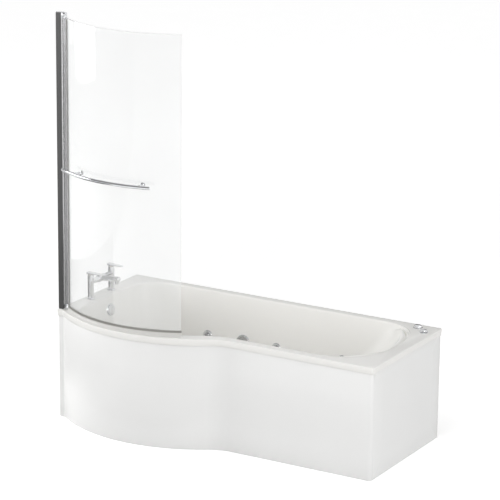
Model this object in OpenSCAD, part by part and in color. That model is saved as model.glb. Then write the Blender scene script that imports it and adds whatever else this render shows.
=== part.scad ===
// P shaped shower bath: an acrylic bath with a bulged shower end, two skirt panels, a curved
// hinged glass screen with a towel rail, a deck mixer tap, a pop-up waste and six water jets.
// Built in a frame with x from the tap end wall, y = 0 on the back wall (the room is at -y)
// and z up from the floor. The last step moves that frame to the middle of the whole bath.

/* [Bath] */
// Length of the bath along the back wall
bath_l = 1700; // [1600:10:1800]
// Width of the straight end
bath_w = 700; // [680:5:750]
// Width at the fullest point of the bulge
bulge_w = 850; // [840:5:900]
// Height of the rim above the floor
rim_h = 540; // [520:5:580]
// Distance of the middle of the bulge from the tap end
bulge_x = 465; // [455:1:475]
// Radius of the bulge at the outer edge of the rim
bulge_r = 700; // [690:1:710]
// Radius of the hollow curve between the bulge and the straight front
bulge_blend = 200; // [180:5:220]
// Height of the turned-down edge of the rim
lip_h = 32; // [28:1:36]
// Thickness of the acrylic shell
shell_t = 6; // [5:0.5:7]

/* [Well] */
// Height of the well floor above the room floor
well_floor = 135; // [130:1:140]
// Width of the deck at the tap end
deck_w = 88; // [84:1:95]
// Width of the rim along the back wall
back_rim = 50; // [46:1:56]
// Width of the rim along the straight front
front_rim = 55; // [52:1:60]
// Width of the rim round the bulge
bulge_rim = 68; // [64:1:74]
// Width of the rim at the head end
head_rim = 80; // [76:1:90]
// Slope of the well walls from upright, in degrees
draft = 5; // [4:0.5:6]
// Length of the well floor's head end from the tap end
rest_foot = 1330; // [1300:10:1340]

/* [Screen] */
// Height of the screen above the rim
screen_h = 1435; // [1400:5:1500]
// Radius of the curved glass, to the middle of its thickness
glass_r = 598; // [590:1:610]
// Thickness of the glass
glass_t = 6; // [5:1:8]
// Distance of the hinge axis from the tap end
hinge_x = 50; // [48:1:52]
// Height of the towel rail above the floor
rail_z = 1250; // [1150:10:1350]
// Diameter of the towel rail
rail_d = 16; // [14:1:19]
// Gap from the middle of the glass to the middle of the rail
rail_gap = 48; // [44:1:55]

/* [Fittings] */
// Distance of the taps, waste and overflow from the back wall
tap_y = 384; // [380:1:390]
// Distance between the two tap tails
tap_pitch = 180; // [178:1:182]
// Height of the tap pillars above the rim
pillar_h = 122; // [115:1:125]
// Distance of the waste outlet from the tap end
waste_x = 250; // [245:1:260]
// Height of the jets above the floor
jet_z = 316; // [306:1:326]
// Lift of the waste plug when open
plug_lift = 8; // [6:1:10]

/* [Hidden] */

$fn = 64;
gap = 0.3;                  // clearance between free-fitting parts
run = 0.05;                 // radial running clearance of a turning shaft
eps = 0.01;
total_h = rim_h + screen_h;
bulge_c = [bulge_x, -(bulge_w - bulge_r)];
corner_r = 12;              // outer corners of the rim
strip_blend = 20;           // hollow curve where the bulge leaves the flat strip at the tap end
panel_inset = 6;            // panels stand this far inside the rim's edge
panel_t = 4;
panel_top = rim_h - 12;

// The screen's curve has its own centre, so that the glass starts on the hinge axis.
glass_c = [442, -228];
hinge_y = glass_c.y - sqrt(pow(glass_r, 2) - pow(hinge_x - glass_c.x, 2));
hinge_a = atan2(hinge_y - glass_c.y, hinge_x - glass_c.x);
rail_r = glass_r + rail_gap;
depth_all = -glass_c.y + rail_r + rail_d / 2;

// Well levels
lip_roll = 10;              // rounding of the rim's inner edge
floor_r = 60;               // rounding between the well's walls and floor
rest_r = 120;               // the same at the foot of the backrest
head_x = bath_l - head_rim;
ledge_back_z = rim_h - 18;
ledge_front_z = rim_h - 34;
ledge_x = head_x - 55;

//------------------------------------------------------------------ outlines
// Points of an arc from angle a0 to a1 in n steps
function arc_pts(c, r, a0, a1, n) =
    [for (i = [0:n]) c + r * [cos(a0 + (a1 - a0) * i / n), sin(a0 + (a1 - a0) * i / n)]];
function angle_to(a, b) = atan2(b.y - a.y, b.x - a.x);
function inner_pts(list) = [for (i = [1:len(list) - 2]) list[i]];
function lift(list, z) = [for (p = list) [p.x, p.y, z]];

// Centre of a curve of radius r that joins the bulge (radius br) to the front line y = f;
// side is 1 towards the head end and -1 towards the taps.
function blend_c(f, br, r, side) =
    [bulge_x + side * sqrt(pow(br + r, 2) - pow(bulge_c.y - f + r, 2)), f - r];

corner_n = 8;
bulge_n = 24;

// A closed outline of the bath seen from above, inset from the rim's outer edge.
function rim_outline(inset) =
    let (f = -bath_w + inset, br = bulge_r - inset, cr = max(corner_r - inset, 2),
         tap_c = blend_c(f, br, strip_blend + inset, -1),
         head_c = blend_c(f, br, bulge_blend + inset, 1))
    concat(
        arc_pts([inset + cr, -inset - cr], cr, 90, 180, corner_n),
        [[inset, f]],
        arc_pts(tap_c, strip_blend + inset, 90, angle_to(tap_c, bulge_c), corner_n - 1),
        inner_pts(arc_pts(bulge_c, br, angle_to(bulge_c, tap_c), angle_to(bulge_c, head_c), bulge_n)),
        arc_pts(head_c, bulge_blend + inset, angle_to(head_c, bulge_c), 90, corner_n),
        arc_pts([bath_l - inset - cr, f + cr], cr, -90, 0, corner_n),
        arc_pts([bath_l - inset - cr, -inset - cr], cr, 0, 90, corner_n));

// A closed outline of the well, inset from its edge in the rim; right is its head end.
function well_outline(inset, right) =
    let (l = deck_w + inset, b = -back_rim - inset, f = -bath_w + front_rim + inset,
         br = bulge_r - bulge_rim - inset, back_c = 150 - inset / 2, tap_c = 120 - inset / 2,
         rear_c = 190 - inset / 2, head_c = 240 - inset / 2,
         hollow = bulge_blend + bulge_rim + inset,
         tap_p = [l + tap_c, bulge_c.y - sqrt(pow(br - tap_c, 2) - pow(l + tap_c - bulge_x, 2))],
         head_p = blend_c(f, br, hollow, 1))
    concat(
        arc_pts([l + back_c, b - back_c], back_c, 90, 180, corner_n),
        arc_pts(tap_p, tap_c, -180, angle_to(bulge_c, tap_p), corner_n),
        inner_pts(arc_pts(bulge_c, br, angle_to(bulge_c, tap_p), angle_to(bulge_c, head_p), bulge_n)),
        arc_pts(head_p, hollow, angle_to(head_p, bulge_c), 90, corner_n),
        arc_pts([right - head_c, f + head_c], head_c, -90, 0, corner_n),
        arc_pts([right - rear_c, b - rear_c], rear_c, 0, 90, corner_n));

// How far a sloping well wall has come in at height z
function wall_in(z) = (rim_h - lip_roll - z) * tan(draft);
foot_in = wall_in(well_floor + floor_r);

//------------------------------------------------------------------ placing
module place() translate([-bath_l / 2, depth_all / 2, 0]) children();
module at_back_wall(x, z)
    translate([x, -back_rim - wall_in(z), z]) rotate([90 - draft, 0, 0]) children();
module at_front_wall(x, z)
    translate([x, -bath_w + front_rim + wall_in(z), z]) rotate([draft - 90, 0, 0]) children();
// The bulge's wall curves in at a fitting's edges, so its fittings stand 0.6 mm off its middle.
function bulge_wall_y(z) = bulge_c.y - bulge_r + bulge_rim + wall_in(z) + 0.6;
module at_bulge_wall(z)
    translate([bulge_x, bulge_wall_y(z), z]) rotate([draft - 90, 0, 0]) children();
module at_tap_wall(z)
    translate([deck_w + wall_in(z), -tap_y, z]) rotate([0, 90 - draft, 0]) children();

// Jets 1 to 3 stand in the back wall, 4 and 5 in the straight front and 6 in the bulge.
jet_x = [460, 847, 1208, 1155, 985, bulge_x];
module at_jet(i) {
    if (i <= 3) at_back_wall(jet_x[i - 1], jet_z) children();
    else if (i <= 5) at_front_wall(jet_x[i - 1], jet_z) children();
    else at_bulge_wall(jet_z) children();
}
suction_x = 661;
control_xy = [[1597, -53], [1651, -103]];
control_z = rim_h + 0.2;
foot_xy = [[bulge_x, -660], [bulge_x, -140], [1130, -572], [1130, -140], [800, -370]];

// Stands a shape at a, with its z axis towards b
module aim(a, b) {
    d = b - a;
    translate(a) rotate([0, acos(d.z / norm(d)), atan2(d.y, d.x)]) children();
}
module rod(a, b, r) aim(a, b) cylinder(h = norm(b - a), r = r);
// The outside of a pipe along pts, with a socketed elbow at each corner
module pipe_solid(pts, r) {
    for (i = [1:len(pts) - 1]) rod(pts[i - 1], pts[i], r);
    for (i = [1:1:len(pts) - 2]) aim(pts[i], pts[i + 1]) sphere(r + 3);
}
// The bore of the same pipe, open at both ends
module pipe_bore(pts, r) {
    n = len(pts) - 1;
    first = pts[0] - (pts[1] - pts[0]) / norm(pts[1] - pts[0]);
    last = pts[n] + (pts[n] - pts[n - 1]) / norm(pts[n] - pts[n - 1]);
    for (i = [1:n]) rod(i == 1 ? first : pts[i - 1], i == n ? last : pts[i], r);
    for (i = [1:1:n - 1]) aim(pts[i], pts[i + 1]) sphere(r + 1);
}
module pipe(pts, r, wall) difference() {
    pipe_solid(pts, r);
    pipe_bore(pts, r - wall);
}
module hex(r, h) cylinder(h = h, r = r, $fn = 6);
// A turned disc with a rounded front edge
module round_disc(r, h, edge)
    rotate_extrude() polygon(concat([[0, 0], [r, 0]],
        arc_pts([r - edge, h - edge], edge, 0, 90, 6), [[0, h]]));
// A block between two radii of the screen's curve, from s0 to s1 millimetres past the hinge
function screen_a(s) = hinge_a + s / glass_r * 180 / PI;
function screen_band(s0, s1, r0, r1) = concat(
    arc_pts(glass_c, r1, screen_a(s0), screen_a(s1), 4), arc_pts(glass_c, r0, screen_a(s1), screen_a(s0), 4));
module screen_arc(s0, s1) translate(glass_c) rotate([0, 0, screen_a(s0)])
    rotate_extrude(angle = screen_a(s1) - screen_a(s0), $fn = 256) children();

//------------------------------------------------------------------ bath
// Rings of points from the middle of the well floor, over the rim and back underneath
module shell_body() {
    top = [
        for (a = [90:-18:0])
            lift(well_outline(foot_in + floor_r * (1 - cos(a)), rest_foot - rest_r * (1 - cos(a))),
                well_floor + floor_r * (1 - sin(a))),
        lift(well_outline(wall_in(ledge_front_z), ledge_x), ledge_front_z),
        lift(well_outline(wall_in(ledge_back_z), head_x - 2), ledge_back_z),
        for (a = [90:-30:0])
            lift(well_outline(lip_roll * (sin(a) - 1), head_x + lip_roll * (1 - sin(a))),
                rim_h - lip_roll * (1 - cos(a)))];
    edge = [
        lift(rim_outline(3), rim_h), lift(rim_outline(0.8), rim_h - 0.8),
        lift(rim_outline(0), rim_h - 3), lift(rim_outline(0), rim_h - lip_h),
        lift(rim_outline(shell_t - 1), rim_h - lip_h), lift(rim_outline(shell_t - 1), rim_h - shell_t)];
    under = [
        lift(well_outline(-shell_t, head_x + shell_t), rim_h - shell_t),
        lift(well_outline(wall_in(ledge_back_z - shell_t) - shell_t, head_x + shell_t - 2),
            ledge_back_z - shell_t),
        lift(well_outline(wall_in(ledge_front_z - shell_t) - shell_t, ledge_x + shell_t),
            ledge_front_z - shell_t),
        for (a = [0:30:90])
            lift(well_outline(foot_in + floor_r * (1 - cos(a)) - shell_t * cos(a),
                    rest_foot - rest_r * (1 - cos(a)) + shell_t * cos(a)),
                well_floor + floor_r * (1 - sin(a)) - shell_t * sin(a))];
    rings = concat(top, edge, under);
    n = len(rings[0]);
    m = len(rings);
    pts = concat([for (ring = rings) for (p = ring) p],
        [[700, -350, well_floor], [700, -350, well_floor - shell_t]]);
    faces = concat(
        [for (j = [0:m - 2]) for (i = [0:n - 1]) [j * n + i, j * n + (i + 1) % n, (j + 1) * n + i]],
        [for (j = [0:m - 2]) for (i = [0:n - 1])
            [j * n + (i + 1) % n, (j + 1) * n + (i + 1) % n, (j + 1) * n + i]],
        [for (i = [0:n - 1]) [i, m * n, (i + 1) % n]],
        [for (i = [0:n - 1]) [(m - 1) * n + i, (m - 1) * n + (i + 1) % n, m * n + 1]]);
    polyhedron(points = pts, faces = faces);
}

tap_hole_r = 14.5;
jet_hole_r = 18;
suction_hole_r = 26;
waste_hole_r = 26;
overflow_hole_r = 22;
control_hole_r = 16;

module bath_shell() color("white") place() difference() {
    shell_body();
    for (s = [-1, 1]) translate([deck_w / 2 - 2, -tap_y + s * tap_pitch / 2, rim_h - 20])
        cylinder(h = 40, r = tap_hole_r);
    translate([waste_x, -tap_y, well_floor - 20]) cylinder(h = 40, r = waste_hole_r);
    at_tap_wall(470) translate([0, 0, -20]) cylinder(h = 40, r = overflow_hole_r);
    for (i = [1:6]) at_jet(i) translate([0, 0, -15]) cylinder(h = 30, r = jet_hole_r);
    at_back_wall(suction_x, jet_z) translate([0, 0, -15]) cylinder(h = 30, r = suction_hole_r);
    for (p = control_xy) translate([p.x, p.y, rim_h - 20]) cylinder(h = 40, r = control_hole_r);
}

//------------------------------------------------------------------ under the bath
board_t = 18;
board_z = well_floor - shell_t - board_t;
rail_h = 27;                // height of a cradle rail
rail_w = 40;
rail_t = 2.5;
stud_r = 6;
pad_h = 16;
stud_top = board_z + 13;

// Wood screws that hold the cradle rails to the board, and the holes they stand in
screw_xy = [for (x = [bulge_x, 1130]) for (y = [-500, -370, -230]) [x, y]];
batten_screw_x = [1060, 1280, 1500];
module screw_holes() for (p = screw_xy)
    translate([p.x, p.y, board_z - 10]) cylinder(h = 25, r = 2 + run, $fn = 24);

module base_board() color("tan") place() difference() {
    translate([330, -550, board_z]) cube([900, 370, board_t]);
    translate([foot_xy[4].x, foot_xy[4].y, board_z - 1]) cylinder(h = board_t + 2, r = stud_r + gap);
    screw_holes();
}

batten_h = 26;
batten_z = rim_h - shell_t - 2 - batten_h;
// The batten across the head end stands lower than the others, clear of the headrest
head_batten_drop = 30;
module rim_battens() color("burlywood") place() {
    translate([120, -42, batten_z]) cube([1440, 28, batten_h]);
    translate([1640, -560, batten_z - head_batten_drop]) cube([40, 390, batten_h]);
    translate([1000, -684, batten_z]) cube([560, 28, batten_h]);
}

module cradle_rail(x, y0, y1) difference() {
    translate([x - rail_w / 2, y0, board_z - rail_h]) cube([rail_w, y1 - y0, rail_h]);
    translate([x - rail_w / 2 + rail_t, y0 - 1, board_z - rail_h - 1])
        cube([rail_w - 2 * rail_t, y1 - y0 + 2, rail_h - rail_t + 1]);
    for (i = [0:3]) translate([foot_xy[i].x, foot_xy[i].y, board_z - 10])
        cylinder(h = 20, r = stud_r + gap);
    screw_holes();
}
module cradle_rails() color("lightsteelblue") place() {
    cradle_rail(bulge_x, -690, -110);
    cradle_rail(1130, -590, -110);
}

module foot_studs() color("silver") place()
    for (i = [0:4]) translate([foot_xy[i].x, foot_xy[i].y, 6]) cylinder(h = stud_top - 6, r = stud_r);

module nut_on_stud(p, z) translate([p.x, p.y, z]) difference() {
    hex(11, 9);
    translate([0, 0, -1]) cylinder(h = 11, r = stud_r + run);
}
module foot_nuts() color("gainsboro") place() {
    for (i = [0:3]) nut_on_stud(foot_xy[i], board_z - rail_t - 9);
    for (i = [0:3]) nut_on_stud(foot_xy[i], board_z);
    nut_on_stud(foot_xy[4], board_z - 9);
    for (i = [0:4]) nut_on_stud(foot_xy[i], pad_h);
}

module foot_pads() color("dimgray") place()
    for (i = [0:4]) translate([foot_xy[i].x, foot_xy[i].y, 0]) difference() {
        rotate_extrude() polygon([[0, 0], [24, 0], [25, 1.5], [24, 6], [13, 10], [12, pad_h], [0, pad_h]]);
        translate([0, 0, 6]) cylinder(h = 20, r = stud_r + run);
    }

// A round-headed wood screw, its head at z = 0 and its shank going up
module wood_screw(l) {
    rotate_extrude($fn = 32) polygon(concat([[0, -3]], arc_pts([0, 2], 5, -60, -24, 5), [[5, 0], [0, 0]]));
    cylinder(h = l, r = 2, $fn = 24);
}
module wood_screws() color("goldenrod") place() {
    for (p = screw_xy) translate([p.x, p.y, board_z - rail_t - 0.1]) wood_screw(14);
    for (x = batten_screw_x) translate([x, -670, 30.1]) mirror([0, 0, 1]) wood_screw(24);
}

bracket_x = [400, 1250];
bracket_pitch = 36;
module wall_brackets() color("silver") place() for (x = bracket_x) difference() {
    union() {
        translate([x - 30, -2.5, 430]) cube([60, 2.5, batten_z - 430]);
        translate([x - 30, -40, batten_z - 2.5]) cube([60, 38, 2.5]);
    }
    for (s = [-1, 1]) translate([x + s * bracket_pitch / 2, 1, 455]) rotate([90, 0, 0])
        cylinder(h = 10, r = 3);
}

//------------------------------------------------------------------ panels
// The line of the front panel from the tap end to its return round the head end corner
function panel_line(inset) =
    let (f = -bath_w + inset, br = bulge_r - inset, cr = 20 - (inset - panel_inset),
         tap_c = blend_c(f, br, strip_blend + inset, -1),
         head_c = blend_c(f, br, bulge_blend + inset, 1))
    concat(
        [[panel_inset, f]],
        arc_pts(tap_c, strip_blend + inset, 90, angle_to(tap_c, bulge_c), 6),
        inner_pts(arc_pts(bulge_c, br, angle_to(bulge_c, tap_c), angle_to(bulge_c, head_c), 60)),
        arc_pts(head_c, bulge_blend + inset, angle_to(head_c, bulge_c), 90, 14),
        arc_pts([bath_l - inset - cr, f + cr], cr, -90, 0, 8));
function reversed(list) = [for (i = [len(list) - 1:-1:0]) list[i]];

module front_panel() color("whitesmoke") place() linear_extrude(panel_top)
    polygon(concat(panel_line(panel_inset), reversed(panel_line(panel_inset + panel_t))));

end_y0 = -bath_w + panel_inset + 20 + 1;
end_y1 = -9;
pan_d = 14;                 // depth of the end panel's folded edges
module end_panel() color("whitesmoke") place() difference() {
    translate([bath_l - panel_inset - pan_d, end_y0, 0]) cube([pan_d, end_y1 - end_y0, panel_top]);
    translate([bath_l - panel_inset - pan_d - 1, end_y0 + panel_t, panel_t])
        cube([pan_d - panel_t + 1, end_y1 - end_y0 - 2 * panel_t, panel_top - 2 * panel_t]);
}

module floor_battens() color("burlywood") place() difference() {
    union() {
        translate([1000, -684, 0]) cube([630, 28, 30]);
        translate([1648, -640, 0]) cube([28, 600, 30]);
    }
    for (x = batten_screw_x) translate([x, -670, 5]) cylinder(h = 30, r = 2 + run, $fn = 24);
}

//------------------------------------------------------------------ waste and overflow
waste_z = well_floor - shell_t;     // underside of the well floor
module waste_flange() color("silver") place() translate([waste_x, -tap_y, well_floor]) difference() {
    union() {
        translate([0, 0, 0.2]) rotate_extrude() polygon([[0, 0], [35, 0], [35, 0.8], [33, 2], [0, 2]]);
        translate([0, 0, -26]) cylinder(h = 27, r = 24);
    }
    translate([0, 0, -2]) cylinder(h = 5, r1 = 22, r2 = 24.6);
    translate([0, 0, -19]) cylinder(h = 18, r = 22);
    for (a = [0:60:300]) rotate([0, 0, a]) translate([14, 0, -30]) cylinder(h = 20, r = 4.5, $fn = 32);
    translate([0, 0, -30]) cylinder(h = 20, r = 4 + run);
}

module waste_washers() color("darkslategray") place() {
    translate([waste_x, -tap_y, waste_z - 4]) difference() {
        cylinder(h = 3.8, r = 36);
        translate([0, 0, -1]) cylinder(h = 6, r = 25);
    }
    at_tap_wall(470) translate([0, 0, -shell_t - 4]) difference() {
        cylinder(h = 3.8, r = 31);
        translate([0, 0, -1]) cylinder(h = 6, r = 23);
    }
}

waste_tail_r = 20;
module waste_body() color("gray") place() translate([waste_x, -tap_y, 0]) difference() {
    union() {
        translate([0, 0, 95]) cylinder(h = waste_z - 4.2 - 95, r = 37);
        translate([0, 0, 72]) cylinder(h = 25, r = waste_tail_r);
        translate([-46, 0, 106]) rotate([0, 90, 0]) cylinder(h = 20, r = 14);
    }
    translate([0, 0, 100]) cylinder(h = 40, r = 24 + gap);
    translate([0, 0, 60]) cylinder(h = 50, r = 17);
    translate([-50, 0, 106]) rotate([0, 90, 0]) cylinder(h = 40, r = 10 + run);
}

trap_out_r = 21.6;
trap_out = [95, -tap_y, 44];
module bath_trap() color("white") place() {
    difference() {
        union() {
            translate([waste_x, -tap_y, 22]) cylinder(h = 44, r = 30);
            rod(trap_out, [waste_x, -tap_y, 44], 21);
            rod(trap_out, trap_out + [30, 0, 0], 26);
        }
        translate([waste_x, -tap_y, 27]) cylinder(h = 42, r = 26);
        rod(trap_out, [waste_x, -tap_y, 44], 18);
        rod(trap_out - [1, 0, 0], trap_out + [22, 0, 0], trap_out_r);
    }
    translate([waste_x, -tap_y, 66.2]) difference() {
        cylinder(h = 18, r = 30, $fn = 12);
        translate([0, 0, -1]) cylinder(h = 20, r = waste_tail_r + run);
    }
}

module overflow_body() color("gray") place() at_tap_wall(470) difference() {
    union() {
        translate([0, 0, -34]) cylinder(h = 34 - shell_t - 4.2, r = 32);
        translate([0, 0, -shell_t - 5]) cylinder(h = shell_t + 5, r = 21);
        translate([46, 0, -22]) rotate([0, -90, 0]) cylinder(h = 46, r = 12);
    }
    translate([0, 0, -28]) cylinder(h = 30, r = 18);
    translate([48, 0, -22]) rotate([0, -90, 0]) cylinder(h = 40, r = 9.5 + run);
    translate([0, 0, -40]) cylinder(h = 20, r = 4 + run);
}
module overflow_face() color("silver") place() at_tap_wall(470) difference() {
    union() {
        translate([0, 0, 0.2]) round_disc(31, 3.5, 1.5);
        translate([0, 0, -8]) cylinder(h = 9, r = 17.8);
    }
    translate([0, 0, -10]) cylinder(h = 20, r = 4 + run);
    for (a = [0:45:315]) rotate([0, 0, a]) translate([12, 0, -10]) cylinder(h = 20, r = 3, $fn = 32);
}
module overflow_knob() color("gainsboro") place() at_tap_wall(470) {
    translate([0, 0, 4.2]) difference() {
        round_disc(25, 13, 3);
        for (a = [0:30:330]) rotate([0, 0, a]) translate([28, 0, 4]) cylinder(h = 20, r = 4.4, $fn = 24);
        translate([0, 0, -1]) cylinder(h = 6, r = 20);
    }
    translate([0, 0, -32]) cylinder(h = 44, r = 4);
    translate([0, 0, -26]) cylinder(h = 3, r = 14);
}

// A point on the axis of the overflow's outlet, d below the middle of the overflow
function below_overflow(d) = [deck_w + wall_in(470) - 22 * cos(draft) + d * sin(draft), -tap_y,
    470 - 22 * sin(draft) - d * cos(draft)];
module overflow_pipe() color("lightgray") place() pipe([below_overflow(30), below_overflow(80),
    [below_overflow(80).x, -tap_y, 106], [waste_x - 30, -tap_y, 106]], 9.5, 1.5);

module popup_cable() color("dimgray") place()
    pipe_solid([[64, -tap_y + 36, 470], [40, -tap_y + 36, 430], [40, -tap_y + 36, 200],
        [70, -tap_y + 46, 90], [waste_x - 40, -tap_y + 46, 84], [waste_x - 12, -tap_y + 38.2, 106]], 2.5);

module waste_plug() color("silver") place() translate([waste_x, -tap_y, well_floor]) {
    rotate_extrude() polygon(concat([[0, -3], [20, -3], [21.5, -1.5], [21.5, 1.5]],
        arc_pts([0, -60.9], 66, 71, 90, 6)));
    translate([0, 0, -40]) cylinder(h = 38, r = 4);
}

//------------------------------------------------------------------ water jets
water_r = 12.5;
air_r = 6;
jet_pipe_z = -32;           // depth of the jets' pipes behind the well wall
air_up = 27;                // height of the air pipe above the water pipe
socket_l = 70;

module jet_body() difference() {
    union() {
        translate([0, 0, -48]) cylinder(h = 48 - shell_t - 1.2, r = 23);
        translate([0, 0, -shell_t - 1]) cylinder(h = shell_t + 1, r = jet_hole_r - gap);
        translate([-socket_l / 2, 0, jet_pipe_z]) rotate([0, 90, 0]) cylinder(h = socket_l, r = 16);
        translate([-25, air_up, jet_pipe_z]) rotate([0, 90, 0]) cylinder(h = 50, r = 9);
        translate([-8, 10, jet_pipe_z - 8]) cube([16, 12, 16]);
    }
    translate([0, 0, -14]) cylinder(h = 20, r = 12.5);
    translate([0, 0, jet_pipe_z]) cylinder(h = 30, r = 7);
    translate([-socket_l / 2 - 1, 0, jet_pipe_z]) rotate([0, 90, 0])
        cylinder(h = socket_l + 2, r = water_r + run);
    translate([-26, air_up, jet_pipe_z]) rotate([0, 90, 0]) cylinder(h = 52, r = air_r + run);
}
module jet_bodies() color("white") place() {
    for (i = [1:3]) at_jet(i) jet_body();
    for (i = [4:6]) at_jet(i) mirror([0, 1, 0]) jet_body();
}
module jet_flanges() color("silver") place() for (i = [1:6]) at_jet(i) difference() {
    translate([0, 0, 0.4]) round_disc(25, 5, 2.5);
    translate([0, 0, -1]) cylinder(h = 8, r1 = 12.6, r2 = 16);
}
// An eyeball nozzle that turns about its own middle
nozzle_z = -2;
module jet_nozzle(i) color("gainsboro") place() at_jet(i) difference() {
    union() {
        translate([0, 0, nozzle_z]) sphere(11.8);
        translate([0, 0, nozzle_z]) cylinder(h = 12, r = 7.5);
    }
    translate([0, 0, nozzle_z - 14]) cylinder(h = 40, r = 4.5);
}

suction_y = -back_rim - wall_in(jet_z) + 26;
module suction_body() color("white") place() difference() {
    union() {
        at_back_wall(suction_x, jet_z) {
            translate([0, 0, -50]) cylinder(h = 50 - shell_t - 0.4, r = 33);
            translate([0, 0, -shell_t - 1]) cylinder(h = shell_t + 1, r = suction_hole_r - gap);
        }
        translate([suction_x, suction_y, jet_z - 58]) cylinder(h = 40, r = 21);
    }
    at_back_wall(suction_x, jet_z) translate([0, 0, -44]) cylinder(h = 50, r = 23);
    translate([suction_x, suction_y, jet_z - 59]) cylinder(h = 46, r = 17 + run);
}
module suction_cover() color("silver") place() at_back_wall(suction_x, jet_z) difference() {
    union() {
        translate([0, 0, 0.4]) round_disc(35, 7, 3);
        translate([0, 0, -7]) cylinder(h = 8, r = 22.8);
    }
    translate([0, 0, -9]) cylinder(h = 13, r = 20);
    for (a = [0:45:315]) rotate([0, 0, a]) translate([13, 0, -10]) cylinder(h = 20, r = 3, $fn = 32);
    for (a = [0:20:340]) rotate([0, 0, a]) translate([24, 0, 0]) cylinder(h = 20, r = 2.5, $fn = 32);
}

pump_y = -230;
pump_z = 100;
pump_x = 1400;              // inlet face of the pump casing
module suction_pipe() color("white") place() pipe([[suction_x, suction_y, jet_z - 44],
    [suction_x, suction_y, 200], [1330, suction_y, 200], [1330, suction_y, pump_z],
    [1330, pump_y, pump_z], [pump_x - 8, pump_y, pump_z]], 17, 2.4);

// Lines of the jets' pipes: along the back, and round behind the front panel
back_y = -back_rim - wall_in(jet_z) - jet_pipe_z * cos(draft);
front_y = -bath_w + front_rim + wall_in(jet_z) + jet_pipe_z * cos(draft);
bulge_y = bulge_wall_y(jet_z) + jet_pipe_z * cos(draft);
pipe_z = jet_z + jet_pipe_z * sin(draft);
plug_in = 15;               // how far a pipe goes into a jet's socket
header_x = 1480;
header_z = 230;
// A pipe from x0 to x1 that climbs over the suction fitting
function over_suction(x0, x1, y, z, up, out) = [[x0, y, z], [suction_x - out, y, z],
    [suction_x - out, y, z + up], [suction_x + out, y, z + up], [suction_x + out, y, z], [x1, y, z]];
function behind_front(x1, reach) = [[x1 - reach, front_y, pipe_z], [900, front_y, pipe_z],
    [560, bulge_y, pipe_z], [bulge_x + reach, bulge_y, pipe_z]];
module water_pipes() color("white") place() {
    reach = socket_l / 2 - plug_in;
    pipe(over_suction(jet_x[0] + reach, jet_x[1] - reach, back_y, pipe_z, 62, 71), water_r, 2);
    pipe([[jet_x[1] + reach, back_y, pipe_z], [jet_x[2] - reach, back_y, pipe_z]], water_r, 2);
    pipe([[jet_x[4] + reach, front_y, pipe_z], [jet_x[3] - reach, front_y, pipe_z]], water_r, 2);
    pipe(behind_front(jet_x[4], reach), water_r, 2);
    main = [[jet_x[2] + reach, back_y, pipe_z], [header_x, back_y, pipe_z], [header_x, back_y, header_z],
        [header_x, front_y, header_z], [header_x, front_y, pipe_z], [jet_x[3] + reach, front_y, pipe_z]];
    branch = [[pump_x + 28, pump_y - 50, 186], [pump_x + 28, pump_y - 50, header_z],
        [header_x, pump_y - 50, header_z]];
    difference() {
        union() {
            pipe_solid(main, water_r);
            pipe_solid(branch, water_r);
            translate(branch[2]) sphere(water_r + 4);
        }
        pipe_bore(main, water_r - 2);
        pipe_bore(branch, water_r - 2);
    }
}
// The air pipe stands above the water pipe, moved as the leaning wall moves it
air_dz = air_up * cos(draft);
air_dy = air_up * sin(draft);
module air_pipes() color("lightgray") place() {
    reach = 13;
    y1 = back_y + air_dy;
    z1 = pipe_z + air_dz;
    pipe(over_suction(jet_x[0] + reach, jet_x[1] - reach, y1, z1, 62, 97), air_r, 1);
    pipe([[jet_x[1] + reach, y1, z1], [jet_x[2] - reach, y1, z1]], air_r, 1);
    pipe([[jet_x[2] + reach, y1, z1], [control_xy[0].x, y1, z1], [control_xy[0].x, control_xy[0].y, 380],
        [control_xy[0].x, control_xy[0].y, control_z - 54]], air_r, 1);
}

//------------------------------------------------------------------ controls on the rim
control_r = 22;
tube_r = 3;
module control_body(pipe_r) difference() {
    union() {
        cylinder(h = 2.2, r = control_r);
        translate([0, 0, -52]) cylinder(h = 53, r = control_hole_r - gap);
        translate([0, 0, -16.4]) hex(22, 10);
        translate([0, 0, -66]) cylinder(h = 16, r = 8.5);
    }
    translate([0, 0, -40]) cylinder(h = 50, r = 5 + run);
    translate([0, 0, -67]) cylinder(h = 15, r = pipe_r + run);
    translate([0, 0, -60]) cylinder(h = 30, r = 2);
}
module control_bodies() color("silver") place() {
    translate([control_xy[0].x, control_xy[0].y, control_z]) control_body(air_r);
    translate([control_xy[1].x, control_xy[1].y, control_z]) control_body(tube_r);
}
module control_tube() color("lightgray") place()
    pipe([[control_xy[1].x, control_xy[1].y, control_z - 54], [control_xy[1].x, control_xy[1].y, 300],
        tube_end + [0, 0, 34], tube_end], tube_r, 1);

knob_z = control_z + 2.2 + gap;
module air_knob() color("gainsboro") place() translate([control_xy[0].x, control_xy[0].y, knob_z]) {
    difference() {
        round_disc(19, 10, 4);
        for (a = [0:30:330]) rotate([0, 0, a]) translate([21.5, 0, 1]) cylinder(h = 20, r = 3.5, $fn = 24);
    }
    translate([0, 0, -30]) cylinder(h = 31, r = 5);
}
button_travel = 4;
module pump_button() color("gainsboro") place()
    translate([control_xy[1].x, control_xy[1].y, knob_z + button_travel]) {
        rotate_extrude() polygon(concat([[0, 0], [18, 0]], arc_pts([15, 2], 3, 0, 60, 4),
            arc_pts([0, -30], 38, 68, 90, 6)));
        translate([0, 0, -30]) cylinder(h = 31, r = 5);
    }

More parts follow.
